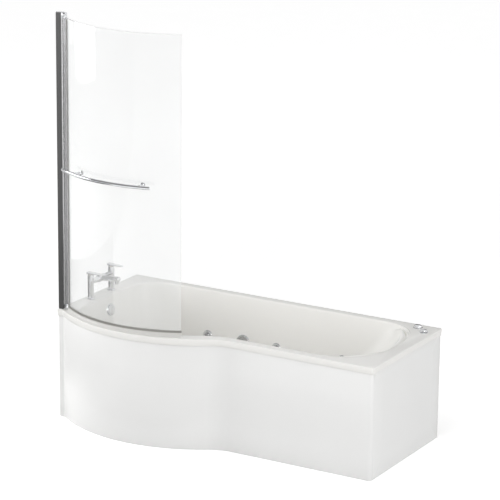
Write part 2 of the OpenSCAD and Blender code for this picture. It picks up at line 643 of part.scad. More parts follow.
//------------------------------------------------------------------ pump
casing_r = 66;
casing_l = 54;
module pump_casing() color("dimgray") place() difference() {
    union() {
        translate([pump_x, pump_y, pump_z]) rotate([0, 90, 0]) cylinder(h = casing_l, r = casing_r);
        translate([pump_x - 24, pump_y, pump_z]) rotate([0, 90, 0]) cylinder(h = 26, r = 22);
        translate([pump_x + 28, pump_y - 50, pump_z]) cylinder(h = 100, r = 17);
        for (a = [45:90:315]) translate([pump_x, pump_y + 60 * cos(a), pump_z + 60 * sin(a)])
            rotate([0, 90, 0]) cylinder(h = casing_l, r = 9);
    }
    translate([pump_x + 5, pump_y, pump_z]) rotate([0, 90, 0]) cylinder(h = casing_l - 10, r = casing_r - 7);
    translate([pump_x - 25, pump_y, pump_z]) rotate([0, 90, 0]) cylinder(h = 40, r = 17 + run);
    translate([pump_x + 28, pump_y - 50, pump_z]) cylinder(h = 110, r = water_r + run);
    translate([pump_x + 20, pump_y, pump_z]) rotate([0, 90, 0]) cylinder(h = 60, r = 6 + run);
}
module pump_impeller() color("khaki") place() translate([pump_x, pump_y, pump_z]) rotate([0, 90, 0]) {
    translate([0, 0, 34]) cylinder(h = 6, r = 50);
    translate([0, 0, 22]) cylinder(h = 14, r = 12);
    for (a = [0:60:300]) rotate([0, 0, a]) translate([10, 6, 22]) cube([38, 4, 13]);
    translate([0, 0, 30]) cylinder(h = 50, r = 6);
}
motor_x = pump_x + casing_l + 0.3;
motor_r = 58;
motor_l = 170;
tube_end = [motor_x + 100, pump_y + 20, pump_z + 76];
module pump_motor() color("slategray") place() {
    difference() {
        union() {
            translate([motor_x, pump_y, pump_z]) rotate([0, 90, 0]) cylinder(h = motor_l, r = motor_r - 5);
            translate([motor_x, pump_y, pump_z]) rotate([0, 90, 0]) cylinder(h = 16, r = motor_r);
            translate([motor_x + motor_l - 30, pump_y, pump_z]) rotate([0, 90, 0])
                cylinder(h = 30, r = motor_r);
            for (a = [0:20:340]) translate([motor_x + 10, pump_y, pump_z]) rotate([a, 0, 0])
                translate([0, -1.5, 0]) cube([motor_l - 30, 3, motor_r - 1]);
            translate([motor_x + 50, pump_y - 38, pump_z + 40]) cube([80, 76, 44]);
        }
        translate([motor_x - 1, pump_y, pump_z]) rotate([0, 90, 0]) cylinder(h = 40, r = 6 + run);
        translate(tube_end - [0, 0, 1]) cylinder(h = 15, r = tube_r + run);
        translate([motor_x + 90, pump_y - 30, pump_z + 62]) rotate([90, 0, 0]) cylinder(h = 20, r = 6);
    }
    translate([motor_x + 90, pump_y - 38.1, pump_z + 62]) rotate([90, 0, 0]) difference() {
        union() {
            hex(11, 6);
            cylinder(h = 14, r = 8.5);
        }
        translate([0, 0, -1]) cylinder(h = 20, r = 4);
    }
}
module pump_base() color("darkslategray") place() difference() {
    union() {
        translate([pump_x + 10, pump_y - 70, 8]) cube([200, 140, 5]);
        for (x = [motor_x + 24, motor_x + 120]) translate([x, pump_y - 44, 10]) cube([20, 88, 56]);
        for (dx = [0, 160]) for (s = [-1, 1]) translate([pump_x + 30 + dx, pump_y + s * 52, 0])
            cylinder(h = 10, r = 15);
    }
    translate([motor_x - 5, pump_y, pump_z]) rotate([0, 90, 0]) cylinder(h = motor_l + 10, r = motor_r - 0.9);
}

//------------------------------------------------------------------ screen: fixed parts
wall_x = 4;                 // the tiled wall overlaps the rim by this much
profile_w = 27;
profile_d = 26;
profile_t = 1.8;
profile_z = rim_h + 3;
pivot_h = 26;
cap_t = 2;
slide_w = 22;               // depth of the adjuster and the pivots inside the channel
slide_x = hinge_x - 11;     // where they stop, clear of the turning parts
nose_r = 8.9;               // rounding of a pivot about the hinge axis
pin_r = 4;
wall_hole_z = [for (i = [-1:1]) (rim_h + total_h) / 2 + i * 640];

module wall_profile() color("dimgray") place() difference() {
    translate([wall_x, hinge_y - profile_d / 2, profile_z])
        cube([profile_w, profile_d, total_h - cap_t - profile_z]);
    translate([wall_x + profile_t, hinge_y - profile_d / 2 + profile_t, profile_z - 1])
        cube([profile_w, profile_d - 2 * profile_t, screen_h + 5]);
    for (z = wall_hole_z) translate([wall_x - 5, hinge_y, z]) rotate([0, 90, 0]) cylinder(h = 20, r = 2.75);
}
module adjuster_profile() color("silver") place() difference() {
    translate([14, hinge_y - slide_w / 2, profile_z + pivot_h + 0.2])
        cube([slide_x - 14, slide_w, total_h - cap_t - 2 * pivot_h - profile_z - 0.4]);
    translate([16, hinge_y - slide_w / 2 + 2, profile_z])
        cube([slide_x - 18, slide_w - 4, screen_h + 5]);
}
// A pivot: a block in the channel with a rounded nose round the hinge axis, and a pin
module pivot_block() union() {
    translate([10, hinge_y - slide_w / 2, 0]) cube([slide_x - 10, slide_w, pivot_h - 0.2]);
    translate([slide_x - 1, hinge_y - 8, 0]) cube([12, 16, pivot_h - 0.2]);
    translate([hinge_x, hinge_y, 0]) cylinder(h = pivot_h - 0.2, r = nose_r);
}
module bottom_pivot() color("gainsboro") place() translate([0, 0, profile_z]) {
    pivot_block();
    translate([hinge_x, hinge_y, pivot_h - 1]) cylinder(h = 22, r = pin_r);
}
module top_pivot() color("gainsboro") place() translate([0, 0, total_h - cap_t - pivot_h + 0.2]) {
    pivot_block();
    translate([hinge_x, hinge_y, -21]) cylinder(h = 22, r = pin_r);
    translate([wall_x, hinge_y - profile_d / 2, pivot_h - 0.2]) cube([slide_x - wall_x, profile_d, cap_t]);
}

//------------------------------------------------------------------ screen: swinging parts
glass_z0 = rim_h + 12;
glass_z1 = total_h - 22;
hinge_z0 = profile_z + pivot_h + 1;
hinge_z1 = total_h - cap_t - pivot_h - 1;
glass_s0 = 13;              // the glass starts this far past the hinge axis
glass_s1 = glass_r * (-61.5 - hinge_a) * PI / 180;
post_a = [-114.5, -79];

module hinge_profile() color("silver") place() difference() {
    translate([0, 0, hinge_z0]) union() {
        translate([hinge_x, hinge_y, 0]) cylinder(h = hinge_z1 - hinge_z0, r = 8.5);
        linear_extrude(hinge_z1 - hinge_z0) polygon(screen_band(5, 28, glass_r - 7, glass_r + 7));
    }
    translate([hinge_x, hinge_y, hinge_z0 - 1]) cylinder(h = screen_h, r = pin_r + run);
    translate([0, 0, hinge_z0 - 1]) linear_extrude(screen_h)
        polygon(screen_band(glass_s0 - 1, 40, glass_r - glass_t / 2 - 0.6, glass_r + glass_t / 2 + 0.6));
}
module post_hole(r) for (a = post_a) translate(glass_c) rotate([0, 0, a])
    translate([glass_r - 15, 0, rail_z]) rotate([0, 90, 0]) cylinder(h = 30, r = r);
module glass_panel() color("lightcyan", 0.4) place() difference() {
    translate([0, 0, glass_z0]) screen_arc(glass_s0, glass_s1) translate([glass_r - glass_t / 2, 0])
        square([glass_t, glass_z1 - glass_z0]);
    post_hole(6);
}
module glass_gasket() color("lightgray") place() for (s = [-1, 1])
    translate([0, 0, hinge_z0]) screen_arc(glass_s0, 34)
        translate([glass_r + s * (glass_t / 2 + 0.3) - 0.25, 0]) square([0.5, hinge_z1 - hinge_z0]);
// A channel that holds the foot of the glass, with a fin that sweeps the rim outside it
module bottom_seal() color("gainsboro") place() screen_arc(19, glass_s1 + 2)
    translate([glass_r, rim_h]) polygon([
        [-5, 0.8], [3, 0.8], [13, 0.5], [13.5, 2], [5, 8], [5, 27], [glass_t / 2 + 0.1, 27],
        [glass_t / 2 + 0.1, 11.8], [-glass_t / 2 - 0.1, 11.8], [-glass_t / 2 - 0.1, 27], [-5, 27]]);

module towel_rail() color("silver") place() translate([glass_c.x, glass_c.y, rail_z])
    rotate([0, 0, -123.6]) rotate_extrude(angle = 49.3, $fn = 256) translate([rail_r, 0])
        circle(rail_d / 2, $fn = 48);

// Each fixing is a post outside the glass and a cap with a stud inside it
module rail_fixings() color("silver") place() for (a = post_a)
    translate([glass_c.x, glass_c.y, rail_z]) rotate([0, 0, a]) translate([glass_r, 0, 0])
        rotate([0, 90, 0]) {
            difference() {
                rotate_extrude() polygon([[0, 3.3], [11, 3.3], [11, 6], [6.5, 8],
                    [6.5, rail_gap - rail_d / 2 - 0.2], [0, rail_gap - rail_d / 2 - 0.2]]);
                cylinder(h = 20, r = 4 + run);
            }
            translate([0, 0, -3.3]) mirror([0, 0, 1]) round_disc(11, 6, 2);
            translate([0, 0, -4]) cylinder(h = 22, r = 4);
        }

//------------------------------------------------------------------ tap
tap_x = deck_w / 2 - 2;
bridge_z = rim_h + 84;
pillar_r = 14.5;
tail_r = 10.4;
thread_r = 10.8;            // threaded upper part of a tail
spout_l = 108;
spout_rise = 4;
stem_r = 4;
// A pillar: a plain foot, a slim stem, and a head that widens to meet the bridge
module pillar() rotate_extrude() polygon([[0, 2.4], [pillar_r, 2.4], [pillar_r, pillar_h - 2],
    [pillar_r - 2, pillar_h], [0, pillar_h]]);
module spout() translate([tap_x, -tap_y, bridge_z]) rotate([0, 90 - spout_rise, 0])
    rotate_extrude() polygon(concat([[0, 0], [13, 0], [13, spout_l - 8]],
        arc_pts([5, spout_l - 8], 8, 0, 90, 6), [[0, spout_l]]));
outlet_x = tap_x + 92;
outlet_z = bridge_z - 16;
module tap_body() color("silver") place() difference() {
    union() {
        for (s = [-1, 1]) translate([tap_x, -tap_y + s * tap_pitch / 2, rim_h]) {
            pillar();
            translate([0, 0, -20]) cylinder(h = 24, r = thread_r);
            translate([0, 0, -58]) cylinder(h = 39, r = tail_r);
        }
        translate([tap_x, -tap_y - tap_pitch / 2, bridge_z]) rotate([-90, 0, 0])
            cylinder(h = tap_pitch, r = 12.5);
        translate([tap_x, -tap_y - 26, bridge_z]) rotate([-90, 0, 0]) cylinder(h = 52, r = 16.5);
        spout();
        translate([outlet_x, -tap_y, outlet_z + 3]) cylinder(h = 14, r = 10.5);
    }
    for (s = [-1, 1]) translate([tap_x, -tap_y + s * tap_pitch / 2, rim_h]) {
        translate([0, 0, -60]) cylinder(h = 120, r = 7);
        translate([0, 0, pillar_h - 34]) cylinder(h = 40, r = 9 + run);
    }
    translate([outlet_x, -tap_y, outlet_z]) cylinder(h = 18, r = 8.5);
}
module tap_flanges() color("silver") place() for (s = [-1, 1])
    translate([tap_x, -tap_y + s * tap_pitch / 2, rim_h + 0.2]) difference() {
        rotate_extrude() polygon([[0, 0], [21, 0], [21, 2.5], [16.5, 7.5], [0, 7.5]]);
        translate([0, 0, -1]) cylinder(h = 3.5, r = thread_r + gap);
        translate([0, 0, 2]) cylinder(h = 8, r = pillar_r + run);
    }
module tap_back_nuts() color("peru") place() for (s = [-1, 1])
    translate([tap_x, -tap_y + s * tap_pitch / 2, rim_h - shell_t - 12]) difference() {
        union() {
            hex(17.5, 10);
            translate([0, 0, 9]) cylinder(h = 2.8, r = 19);
        }
        translate([0, 0, -1]) cylinder(h = 16, r = thread_r + run);
    }
module tap_aerator() color("gainsboro") place() translate([outlet_x, -tap_y, outlet_z - 1]) difference() {
    cylinder(h = 12, r = 8.4);
    for (a = [0:60:300]) rotate([0, 0, a]) translate([4.8, 0, -1]) cylinder(h = 20, r = 1.6, $fn = 24);
    translate([0, 0, -1]) cylinder(h = 20, r = 1.6, $fn = 24);
}
cartridge_l = 36;
module tap_cartridges() color("gold") place() for (s = [-1, 1])
    translate([tap_x, -tap_y + s * tap_pitch / 2, rim_h + pillar_h - 33]) difference() {
        cylinder(h = cartridge_l - 2, r = 9);
        translate([0, 0, 8]) cylinder(h = cartridge_l, r = stem_r + run);
    }
// A paddle lever on a round hub, with a stem that turns in the cartridge
lever_l = 66;
function paddle_pts() = concat(arc_pts([-9, 0], 13, 88, 272, 12),
    arc_pts([lever_l - 11, 0], 11, -88, 88, 12));
module lever() {
    translate([0, 0, pillar_h + 2]) linear_extrude(2) circle(14.5);
    translate([0, 0, pillar_h + 4]) linear_extrude(7) polygon(paddle_pts());
    translate([0, 0, pillar_h - 20]) cylinder(h = 24, r = stem_r);
}
module hot_lever() color("silver") place()
    translate([tap_x, -tap_y - tap_pitch / 2, rim_h]) lever();
module cold_lever() color("silver") place()
    translate([tap_x, -tap_y + tap_pitch / 2, rim_h]) lever();

bath_shell();
base_board();
rim_battens();
cradle_rails();
foot_studs();
foot_nuts();
foot_pads();
wood_screws();
wall_brackets();
front_panel();
end_panel();
floor_battens();
waste_flange();
waste_body();
waste_washers();
bath_trap();
overflow_body();
overflow_face();
overflow_pipe();
popup_cable();
jet_bodies();
jet_flanges();
suction_body();
suction_cover();
suction_pipe();
water_pipes();
air_pipes();
control_bodies();
control_tube();
pump_casing();
pump_motor();
pump_base();
wall_profile();
adjuster_profile();
top_pivot();
bottom_pivot();
tap_body();
tap_flanges();
tap_back_nuts();
tap_aerator();
tap_cartridges();
hinge_profile();
glass_panel();
glass_gasket();
bottom_seal();
towel_rail();
rail_fixings();
hot_lever();
cold_lever();
overflow_knob();
waste_plug();
pump_impeller();
air_knob();
pump_button();
jet_nozzle(1);  // jet_nozzle_1
jet_nozzle(2);  // jet_nozzle_2
jet_nozzle(3);  // jet_nozzle_3
jet_nozzle(4);  // jet_nozzle_4
jet_nozzle(5);  // jet_nozzle_5
jet_nozzle(6);  // jet_nozzle_6
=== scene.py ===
import bmesh, bpy, math
import numpy as np
from mathutils import Matrix, Vector


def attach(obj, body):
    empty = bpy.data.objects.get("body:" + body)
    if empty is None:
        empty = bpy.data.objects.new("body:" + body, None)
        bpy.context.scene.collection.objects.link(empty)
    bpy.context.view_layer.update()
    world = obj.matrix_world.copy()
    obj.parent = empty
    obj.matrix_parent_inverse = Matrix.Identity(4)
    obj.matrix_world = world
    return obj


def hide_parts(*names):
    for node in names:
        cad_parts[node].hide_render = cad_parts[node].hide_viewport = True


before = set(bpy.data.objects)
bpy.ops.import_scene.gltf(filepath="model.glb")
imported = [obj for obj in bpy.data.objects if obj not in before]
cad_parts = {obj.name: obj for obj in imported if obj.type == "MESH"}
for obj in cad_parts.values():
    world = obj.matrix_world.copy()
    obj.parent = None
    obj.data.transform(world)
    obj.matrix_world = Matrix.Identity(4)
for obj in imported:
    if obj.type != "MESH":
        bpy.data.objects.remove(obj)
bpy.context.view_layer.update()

# -------------------------------------------------- camera, room and light
# The photograph is a plain studio picture on white, taken from the right of the front and a
# little above the screen's rail. The room is a pale floor, soft white light from all round, and
# dark and grey cards that only reflections see, which give the chrome its edges.
tap_end = np.array([-850.0, 441.0, 0.0])  # adds to a place in mm from the tap end and the wall
picture_wide, seen_wide = 36, 500 / 2514  # the sensor in mm, and how wide it sees at 1 m away

camera = bpy.data.objects.new("Camera", bpy.data.cameras.new("Camera"))
bpy.context.scene.collection.objects.link(camera)
camera.data.sensor_width = picture_wide
camera.data.lens = picture_wide / seen_wide
camera.data.clip_end = 100
turn, tilt, roll = math.radians(30.01), math.radians(15.73), math.radians(0.6)
camera.matrix_world = (Matrix.Translation((5.676, -9.725, 4.070)) @ Matrix.Rotation(turn, 4, "Z")
                       @ Matrix.Rotation(math.pi / 2 - tilt, 4, "X") @ Matrix.Rotation(roll, 4, "Z"))
bpy.context.scene.camera = camera
bpy.context.scene.view_settings.view_transform = "Standard"


def tint(hex_colour):
    """A colour as linear light, from its sRGB hex: the 2.4 power curve with its straight foot."""
    c = np.array([int(hex_colour[i:i + 2], 16) for i in (1, 3, 5)]) / 255
    c = np.where(c <= 0.04045, c / 12.92, ((c + 0.055) / 1.055) ** 2.4)
    return (*c, 1.0)


def add(tree, kind, settings=None, links=None):
    """Adds one shader node. Settings give its sockets (by name or number) or its own switches a
    value; links feed its sockets from other nodes, each from its first output or the one named."""
    made = tree.nodes.new("ShaderNode" + kind)
    for key, value in (settings or {}).items():
        if isinstance(key, int) or key in made.inputs:
            made.inputs[key].default_value = value
        else:
            setattr(made, key, value)
    for key, source in (links or {}).items():
        node, socket = source if isinstance(source, tuple) else (source, 0)
        tree.links.new(node.outputs[socket], made.inputs[key])
    return made


def finish_of(name):
    """A new material with an empty tree."""
    made = bpy.data.materials.new(name)
    made.use_nodes = True
    made.node_tree.nodes.clear()
    return made, made.node_tree


def show(tree, shader):
    """Ends a material: the shader goes to its surface."""
    add(tree, "OutputMaterial", None, {"Surface": shader})


def place_in(tree):
    """Where a point is on its object, in metres."""
    return add(tree, "TexCoord"), "Object"


def mixed(tree, first, last, by):
    """A colour from the first sRGB hex to the last, as by goes from 0 to 1."""
    return add(tree, "Mix", {"data_type": "RGBA", 6: tint(first), 7: tint(last)}, {0: by}), 2


def looked_at(tree):
    """1 for what the camera sees, by itself, in a reflection or through glass; 0 for fill light."""
    path = add(tree, "LightPath")
    solid = add(tree, "Math", {"operation": "MAXIMUM"}, {0: (path, "Is Camera Ray"), 1: (path, "Is Glossy Ray")})
    return add(tree, "Math", {"operation": "MAXIMUM"}, {0: solid, 1: (path, "Is Transmission Ray")})


# Matt studio floor. Where it is lit it reads white, and it keeps the bath's soft shadow. The lamps
# are strongest on it behind the screen, so it is lifted less there and stays even.
floor_paint, tree = finish_of("matt_white_floor_paint")
away = add(tree, "VectorMath", {"operation": "DISTANCE", 1: (-1.8, 2.0, 0.0)}, {0: place_in(tree)})
even = add(tree, "MapRange", {"From Max": 3.6, "To Min": 0.36, "To Max": 0.52}, {"Value": (away, "Value")})
lift = add(tree, "Math", {"operation": "MULTIPLY"}, {0: looked_at(tree), 1: even})
grain = add(tree, "TexNoise", {"Scale": 300.0, "Detail": 2.0})
shade = add(tree, "MapRange", {"To Min": 0.80, "To Max": 0.84}, {"Value": grain})
matt = add(tree, "BsdfDiffuse", None, {"Color": shade})
glow = add(tree, "Emission", None, {"Strength": lift})
both = add(tree, "AddShader", None, {0: matt, 1: glow})
show(tree, both)

below_feet = (0, 0, -0.0005)  # the floor is half a millimetre down, clear of the feet
bpy.ops.mesh.primitive_circle_add(vertices=96, radius=26, fill_type="NGON", location=below_feet)
floor = bpy.context.object
floor.name = "studio_floor"
floor.data.materials.append(floor_paint)

# Soft white light from all round: full white where it is looked at, weaker as fill light
world = bpy.data.worlds.new("studio")
bpy.context.scene.world = world
world.use_nodes = True
tree = world.node_tree
tree.nodes.clear()
level = add(tree, "MapRange", {"To Min": 0.56, "To Max": 1.0}, {"Value": looked_at(tree)})
sky = add(tree, "Background", {"Color": (1, 1, 1, 1)}, {"Strength": level})
add(tree, "OutputWorld", None, {"Surface": sky})

# Three square lamps: where each stands, in metres, and its watts
lamp_wide, bath_middle = 3.0, Vector((0, 0, 0.6))
for name, place, watts in (("left", (-5.5, -1.5, 2.0), 160), ("right", (5.5, -4.0, 2.2), 138),
                           ("top", (0.0, -3.5, 6.0), 48)):
    lamp = bpy.data.objects.new(name, bpy.data.lights.new(name, "AREA"))
    bpy.context.scene.collection.objects.link(lamp)
    lamp.data.energy, lamp.data.size = watts, lamp_wide
    lamp.location = place
    lamp.rotation_euler = (bath_middle - Vector(place)).to_track_quat("-Z", "Y").to_euler()
    lamp.visible_camera = False

# The cards are cloth on frames: how bright each is beside a white one, and its corners in metres
for name, shine, corners in (
        ("card_front", 0.02, [(3.6, -6.4, -0.4), (4.2, -5.9, -0.4), (4.2, -5.9, 3.4), (3.6, -6.4, 3.4)]),
        ("card_back", 0.02, [(-5.0, 2.2, 0.0), (0.6, 2.2, 0.0), (0.6, 2.2, 1.19), (-5.0, 2.2, 1.19)]),
        ("card_left", 0.05, [(-1.4, -1.5, 0.0), (-1.4, 0.8, 0.0), (-1.4, 0.8, 0.62), (-1.4, -1.5, 0.62)]),
        ("card_pale", 0.75, [(-2.2, -6.0, 0.15), (-2.2, 2.0, 0.15), (-2.2, 2.0, 1.55), (-2.2, -6.0, 1.55)]),
        ("card_floor", 0.10, [(-3.0, -1.1, 0.001), (3.0, -1.1, 0.001), (3.0, -0.5, 0.001), (-3.0, -0.5, 0.001)]),
        ("card_high", 0.12, [(-9.0, -6.5, 2.8), (3.0, -6.5, 2.8), (3.0, -5.0, 5.0), (-9.0, -5.0, 5.0)]),
        ("card_side", 0.12, [(-7.0, -4.0, 2.8), (-7.0, 2.0, 2.8), (-6.0, 2.0, 5.0), (-6.0, -4.0, 5.0)]),
        ("card_above", 0.34, [(-9.0, -5.0, 5.0), (1.5, -5.0, 5.0), (1.5, 3.0, 5.0), (-9.0, 3.0, 5.0)])):
    mesh = bpy.data.meshes.new(name)
    mesh.from_pydata(corners, [], [(0, 1, 2, 3)])
    card_paint, tree = finish_of(name + "_cloth")
    cloth = add(tree, "TexNoise", {"Scale": 60.0})
    tone = add(tree, "MapRange", {"To Min": shine * 0.9, "To Max": shine * 1.1}, {"Value": cloth})
    glow = add(tree, "Emission", None, {"Strength": tone})
    show(tree, glow)
    mesh.materials.append(card_paint)
    card = bpy.data.objects.new(name, mesh)
    bpy.context.scene.collection.objects.link(card)
    card.visible_camera = card.visible_diffuse = card.visible_shadow = card.visible_transmission = False

# -------------------------------------------------- bath shell
# The bath: one sheet of cast acrylic drawn into a mould, so every edge is a soft roll and the
# wall is 6 mm all over. Its hidden side is sprayed with glass fibre. Made as rings of points
# from the middle of the well floor, up the walls, over the rim and back underneath.
length, width, rim_z = 1700.0, 700.0, 540.0
bulge = np.array([465.0, -150.0])  # middle of the bulge's curve
bulge_r, corner_r = 700.0, 12.0
tap_hollow, head_hollow = 20.0, 200.0  # radii of the curves between bulge and straight front
well_left, well_back, well_front, well_r = 88.0, -50.0, -645.0, 632.0  # the well's edge in the rim
well_corners = (150, 120, 190, 240)  # radii: rear tap, front tap, rear head, front head
lean = math.radians(5)  # the well walls lean out
roll_r = 10.0  # the roll from the deck into the well
skin_t = 6.0  # thickness of the acrylic


def arc(centre, r, a0, a1, n):
    """Points of an arc: centre plus r times (cos a, sin a), n + 1 of them from a0 to a1 degrees.

    Centre, r, a0 and a1 may be one value or one for each ring; the points stand in the next axis."""
    sweep = (np.asarray(a1, float) - a0)[..., None] * np.linspace(0, 1, n + 1)
    a = np.radians(np.asarray(a0, float)[..., None] + sweep)
    r = np.asarray(r, float)[..., None]
    cx, cy = (np.asarray(c, float)[..., None] for c in centre)
    return np.stack([cx + r * np.cos(a), cy + r * np.sin(a)], -1)


def degrees_to(a, b):
    """The direction from a to b, in degrees."""
    return np.degrees(np.arctan2(b[1] - a[1], b[0] - a[0]))


def hollow_centre(front, r_out, r, side):
    """Centre of a curve of radius r that touches the bulge (radius r_out) and the straight front."""
    return bulge[0] + side * np.sqrt((r_out + r) ** 2 - (bulge[1] - front + r) ** 2), front - r


def closed_line(arcs, counts):
    """One closed outline: the arcs in turn, with counts of even points on the straights between."""
    parts = []
    for i, a in enumerate(arcs):
        b = arcs[(i + 1) % len(arcs)]
        t = np.linspace(0, 1, counts[i] + 2)[1:-1, None]
        parts += [a, a[..., -1:, :] * (1 - t) + b[..., :1, :] * t]
    return np.concatenate(parts, -2)


corner_n, bulge_n, hollow_n = 14, 72, 20  # steps on each kind of arc
straights = (14, 0, 0, 16, 8, 34)  # points on the straights after each arc


def round_bulge(r, start, end, same):
    """The bulge's arc of radius r, without its ends, between the directions of two curves' centres."""
    centre = (bulge[0] + same, bulge[1] + same)
    return arc(centre, r, degrees_to(bulge, start), degrees_to(bulge, end), bulge_n)[..., 1:-1, :]


def rim_line(inset):
    """Outline of the rim, inset from its edge: six arcs from the rear tap corner, against the clock."""
    front, r, same = -width + inset, bulge_r - inset, 0 * inset
    small = np.maximum(corner_r - inset, 2)
    tap_c = hollow_centre(front, r, tap_hollow + inset, -1)
    head_c = hollow_centre(front, r, head_hollow + inset, 1)
    first = arc(tap_c, tap_hollow + inset, 90 + same, degrees_to(tap_c, bulge), corner_n)
    first[..., 0, 0] = inset  # the flat strip at the tap end
    belly = round_bulge(r, tap_c, head_c, same)
    return closed_line([
        arc((inset + small, -inset - small), small, 90 + same, 180 + same, corner_n), first, belly,
        arc(head_c, head_hollow + inset, degrees_to(head_c, bulge), 90 + same, hollow_n),
        arc((length - inset - small, front + small), small, -90 + same, same, corner_n),
        arc((length - inset - small, -inset - small), small, same, 90 + same, corner_n)], straights)


def well_line(inset, right):
    """Outline of the well, inset from its edge, with its head end at right: six arcs as in rim_line."""
    left, back, front, r = well_left + inset, well_back - inset, well_front + inset, well_r - inset
    same, hollow = 0 * inset, head_hollow + bulge_r - well_r + inset
    rear_tap, front_tap, rear_head, front_head = (c - inset / 2 for c in well_corners)
    tap_c = (left + front_tap, bulge[1] - np.sqrt((r - front_tap) ** 2 - (left + front_tap - bulge[0]) ** 2))
    head_c = hollow_centre(front, r, hollow, 1)
    belly = round_bulge(r, tap_c, head_c, same)
    return closed_line([
        arc((left + rear_tap, back - rear_tap), rear_tap, 90 + same, 180 + same, corner_n),
        arc(tap_c, front_tap, -180 + same, degrees_to(bulge, tap_c), corner_n), belly,
        arc(head_c, hollow, degrees_to(head_c, bulge), 90 + same, hollow_n),
        arc((right - front_head, front + front_head), front_head, -90 + same, same, corner_n),
        arc((right - rear_head, back - rear_head), rear_head, same, 90 + same, corner_n)], straights)


def wall_in(z):
    """How far a well wall has come in at height z: the depth below the roll times the slope."""
    return (rim_z - roll_r - z) * math.tan(lean)


def at_height(outline, z):
    """Rings of points: each outline at its own height."""
    height = np.broadcast_to(np.asarray(z, float)[:, None, None], (*outline.shape[:-1], 1))
    return np.concatenate([outline, height], -1)


def skin(points, mat=0):
    """The quads between neighbouring rows and columns of a grid of points, and their material."""
    rows, cols = points.shape[:2]
    i = np.arange(rows * cols).reshape(rows, cols)
    quads = np.stack([i[:-1, :-1], i[:-1, 1:], i[1:, 1:], i[1:, :-1]], -1).reshape(-1, 4)
    return points.reshape(-1, 3), quads, mat


def round_skin(points, mat=0):
    """A skin whose rows are closed rings."""
    return skin(np.concatenate([points, points[:, :1]], 1), mat)


def shade_smooth(mesh, crease):
    """Smooth shading, with edges sharper than crease degrees kept."""
    mesh.polygons.foreach_set("use_smooth", np.ones(len(mesh.polygons), bool))
    mesh.set_sharp_from_angle(angle=math.radians(crease))


def piece(name, skins, finishes, body, nodes=(), crease=32):
    """Makes one mesh of skins given in mm from the tap end: joins points that meet, drops flat faces,
    points every face outwards, and keeps edges sharper than crease degrees."""
    points, quads, mats, start = [], [], [], 0
    for p, q, m in skins:
        points.append(p)
        quads.append(q + start)
        mats.append(np.full(len(q), m))
        start += len(p)
    points, quads, mats = np.concatenate(points), np.concatenate(quads), np.concatenate(mats)
    meet = np.round(points * 500).astype(np.int64)  # to the nearest 2 micrometres
    _, first, same = np.unique(meet, axis=0, return_index=True, return_inverse=True)
    points, quads = points[first], same.reshape(-1)[quads]
    twin = quads == np.roll(quads, -1, 1)
    whole, three = ~twin.any(1), twin.sum(1) == 1
    triangles = quads[three][~twin[three]].reshape(-1, 3)
    mesh = bpy.data.meshes.new(name)
    mesh.from_pydata(((points + tap_end) * 0.001).tolist(), [], quads[whole].tolist() + triangles.tolist())
    for f in finishes:
        mesh.materials.append(f)
    mesh.polygons.foreach_set("material_index", np.concatenate([mats[whole], mats[three]]).astype(np.int32))
    work = bmesh.new()
    work.from_mesh(mesh)
    bmesh.ops.recalc_face_normals(work, faces=work.faces)
    work.to_mesh(mesh)
    work.free()
    shade_smooth(mesh, crease)
    mesh.update()
    made = bpy.data.objects.new(name, mesh)
    bpy.context.scene.collection.objects.link(made)
    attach(made, body)
    if nodes:
        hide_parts(*nodes)
    return made


# Profile of the well as (inset, head end, height) rows: the curve out of its floor, the wall, the
# ledge behind the headrest and the roll into the deck. At the head end it is the backrest.
floor_z, foot_r, wall_top, ledge_foot, ledge_top = 135.0, 60.0, 498.0, 500.0, 521.0
head_foot, head_top, head_edge = 1330.0, 1578.0, 1620.0  # backrest's foot and top, deck's edge
foot_z = floor_z + foot_r
bend = np.radians(np.linspace(90, 0, 11))
out_of, up_by = foot_r * (1 - np.cos(bend)), foot_r * (1 - np.sin(bend))
floor_rows = [wall_in(foot_z), head_foot, floor_z] + np.stack([out_of, -2 * out_of, up_by], -1)
z = np.linspace(foot_z, wall_top, 16)[1:]
backrest = head_foot + (head_top - head_foot) * (z - foot_z) / (wall_top - foot_z)
wall_rows = np.stack([wall_in(z), backrest, z], -1)
z = np.linspace(ledge_foot, ledge_top, 12)
ledge_rows = np.stack([wall_in(z), head_top + 1 + 40 * np.linspace(0.05, 1, 12) ** 0.9, z], -1)
bend_in = np.radians(np.linspace(90, 0, 9))
over, drop = roll_r * (1 - np.sin(bend_in)), roll_r * (1 - np.cos(bend_in))
roll_rows = np.stack([-over, head_edge + over, rim_z - drop], -1)
rows = np.concatenate([floor_rows, wall_rows, ledge_rows, roll_rows])
well = at_height(well_line(rows[:, 0], rows[:, 1]), rows[:, 2])

# The headrest: places and widths in mm
rest_x, rest_grow = 1455.0, 85.0  # where it starts, and the length it grows over
ridge_row, ridge_wide = 1560.0, 46.0  # profile row where the ridge starts, width with its crease
behind = 0.35  # width of the rise behind the crease, in ridge widths
ridge_up, crease_down, behind_up, corner_up = 12.0, 20.0, 8.0, 22.0
corner_z, corner_grow = 400.0, 95.0  # height where the corners start to rise, and over what
edge_row, edge_fade = 1627.0, 16.0  # profile row where the rise has died out, and over what
middle_y, middle_half, middle_down = -347.0, 240.0, 33.0  # the hollow between the corners
scoop_row, scoop_grow, scoop_half, scoop_down = 1606.0, 14.0, 175.0, 5.0  # the scoop in the deck's edge


def hump(y, half):
    """1 in the middle of the bath's width and 0 beyond half: a cosine squared."""
    return np.cos(np.pi / 2 * np.clip(np.abs(y - middle_y) / half, 0, 1)) ** 2


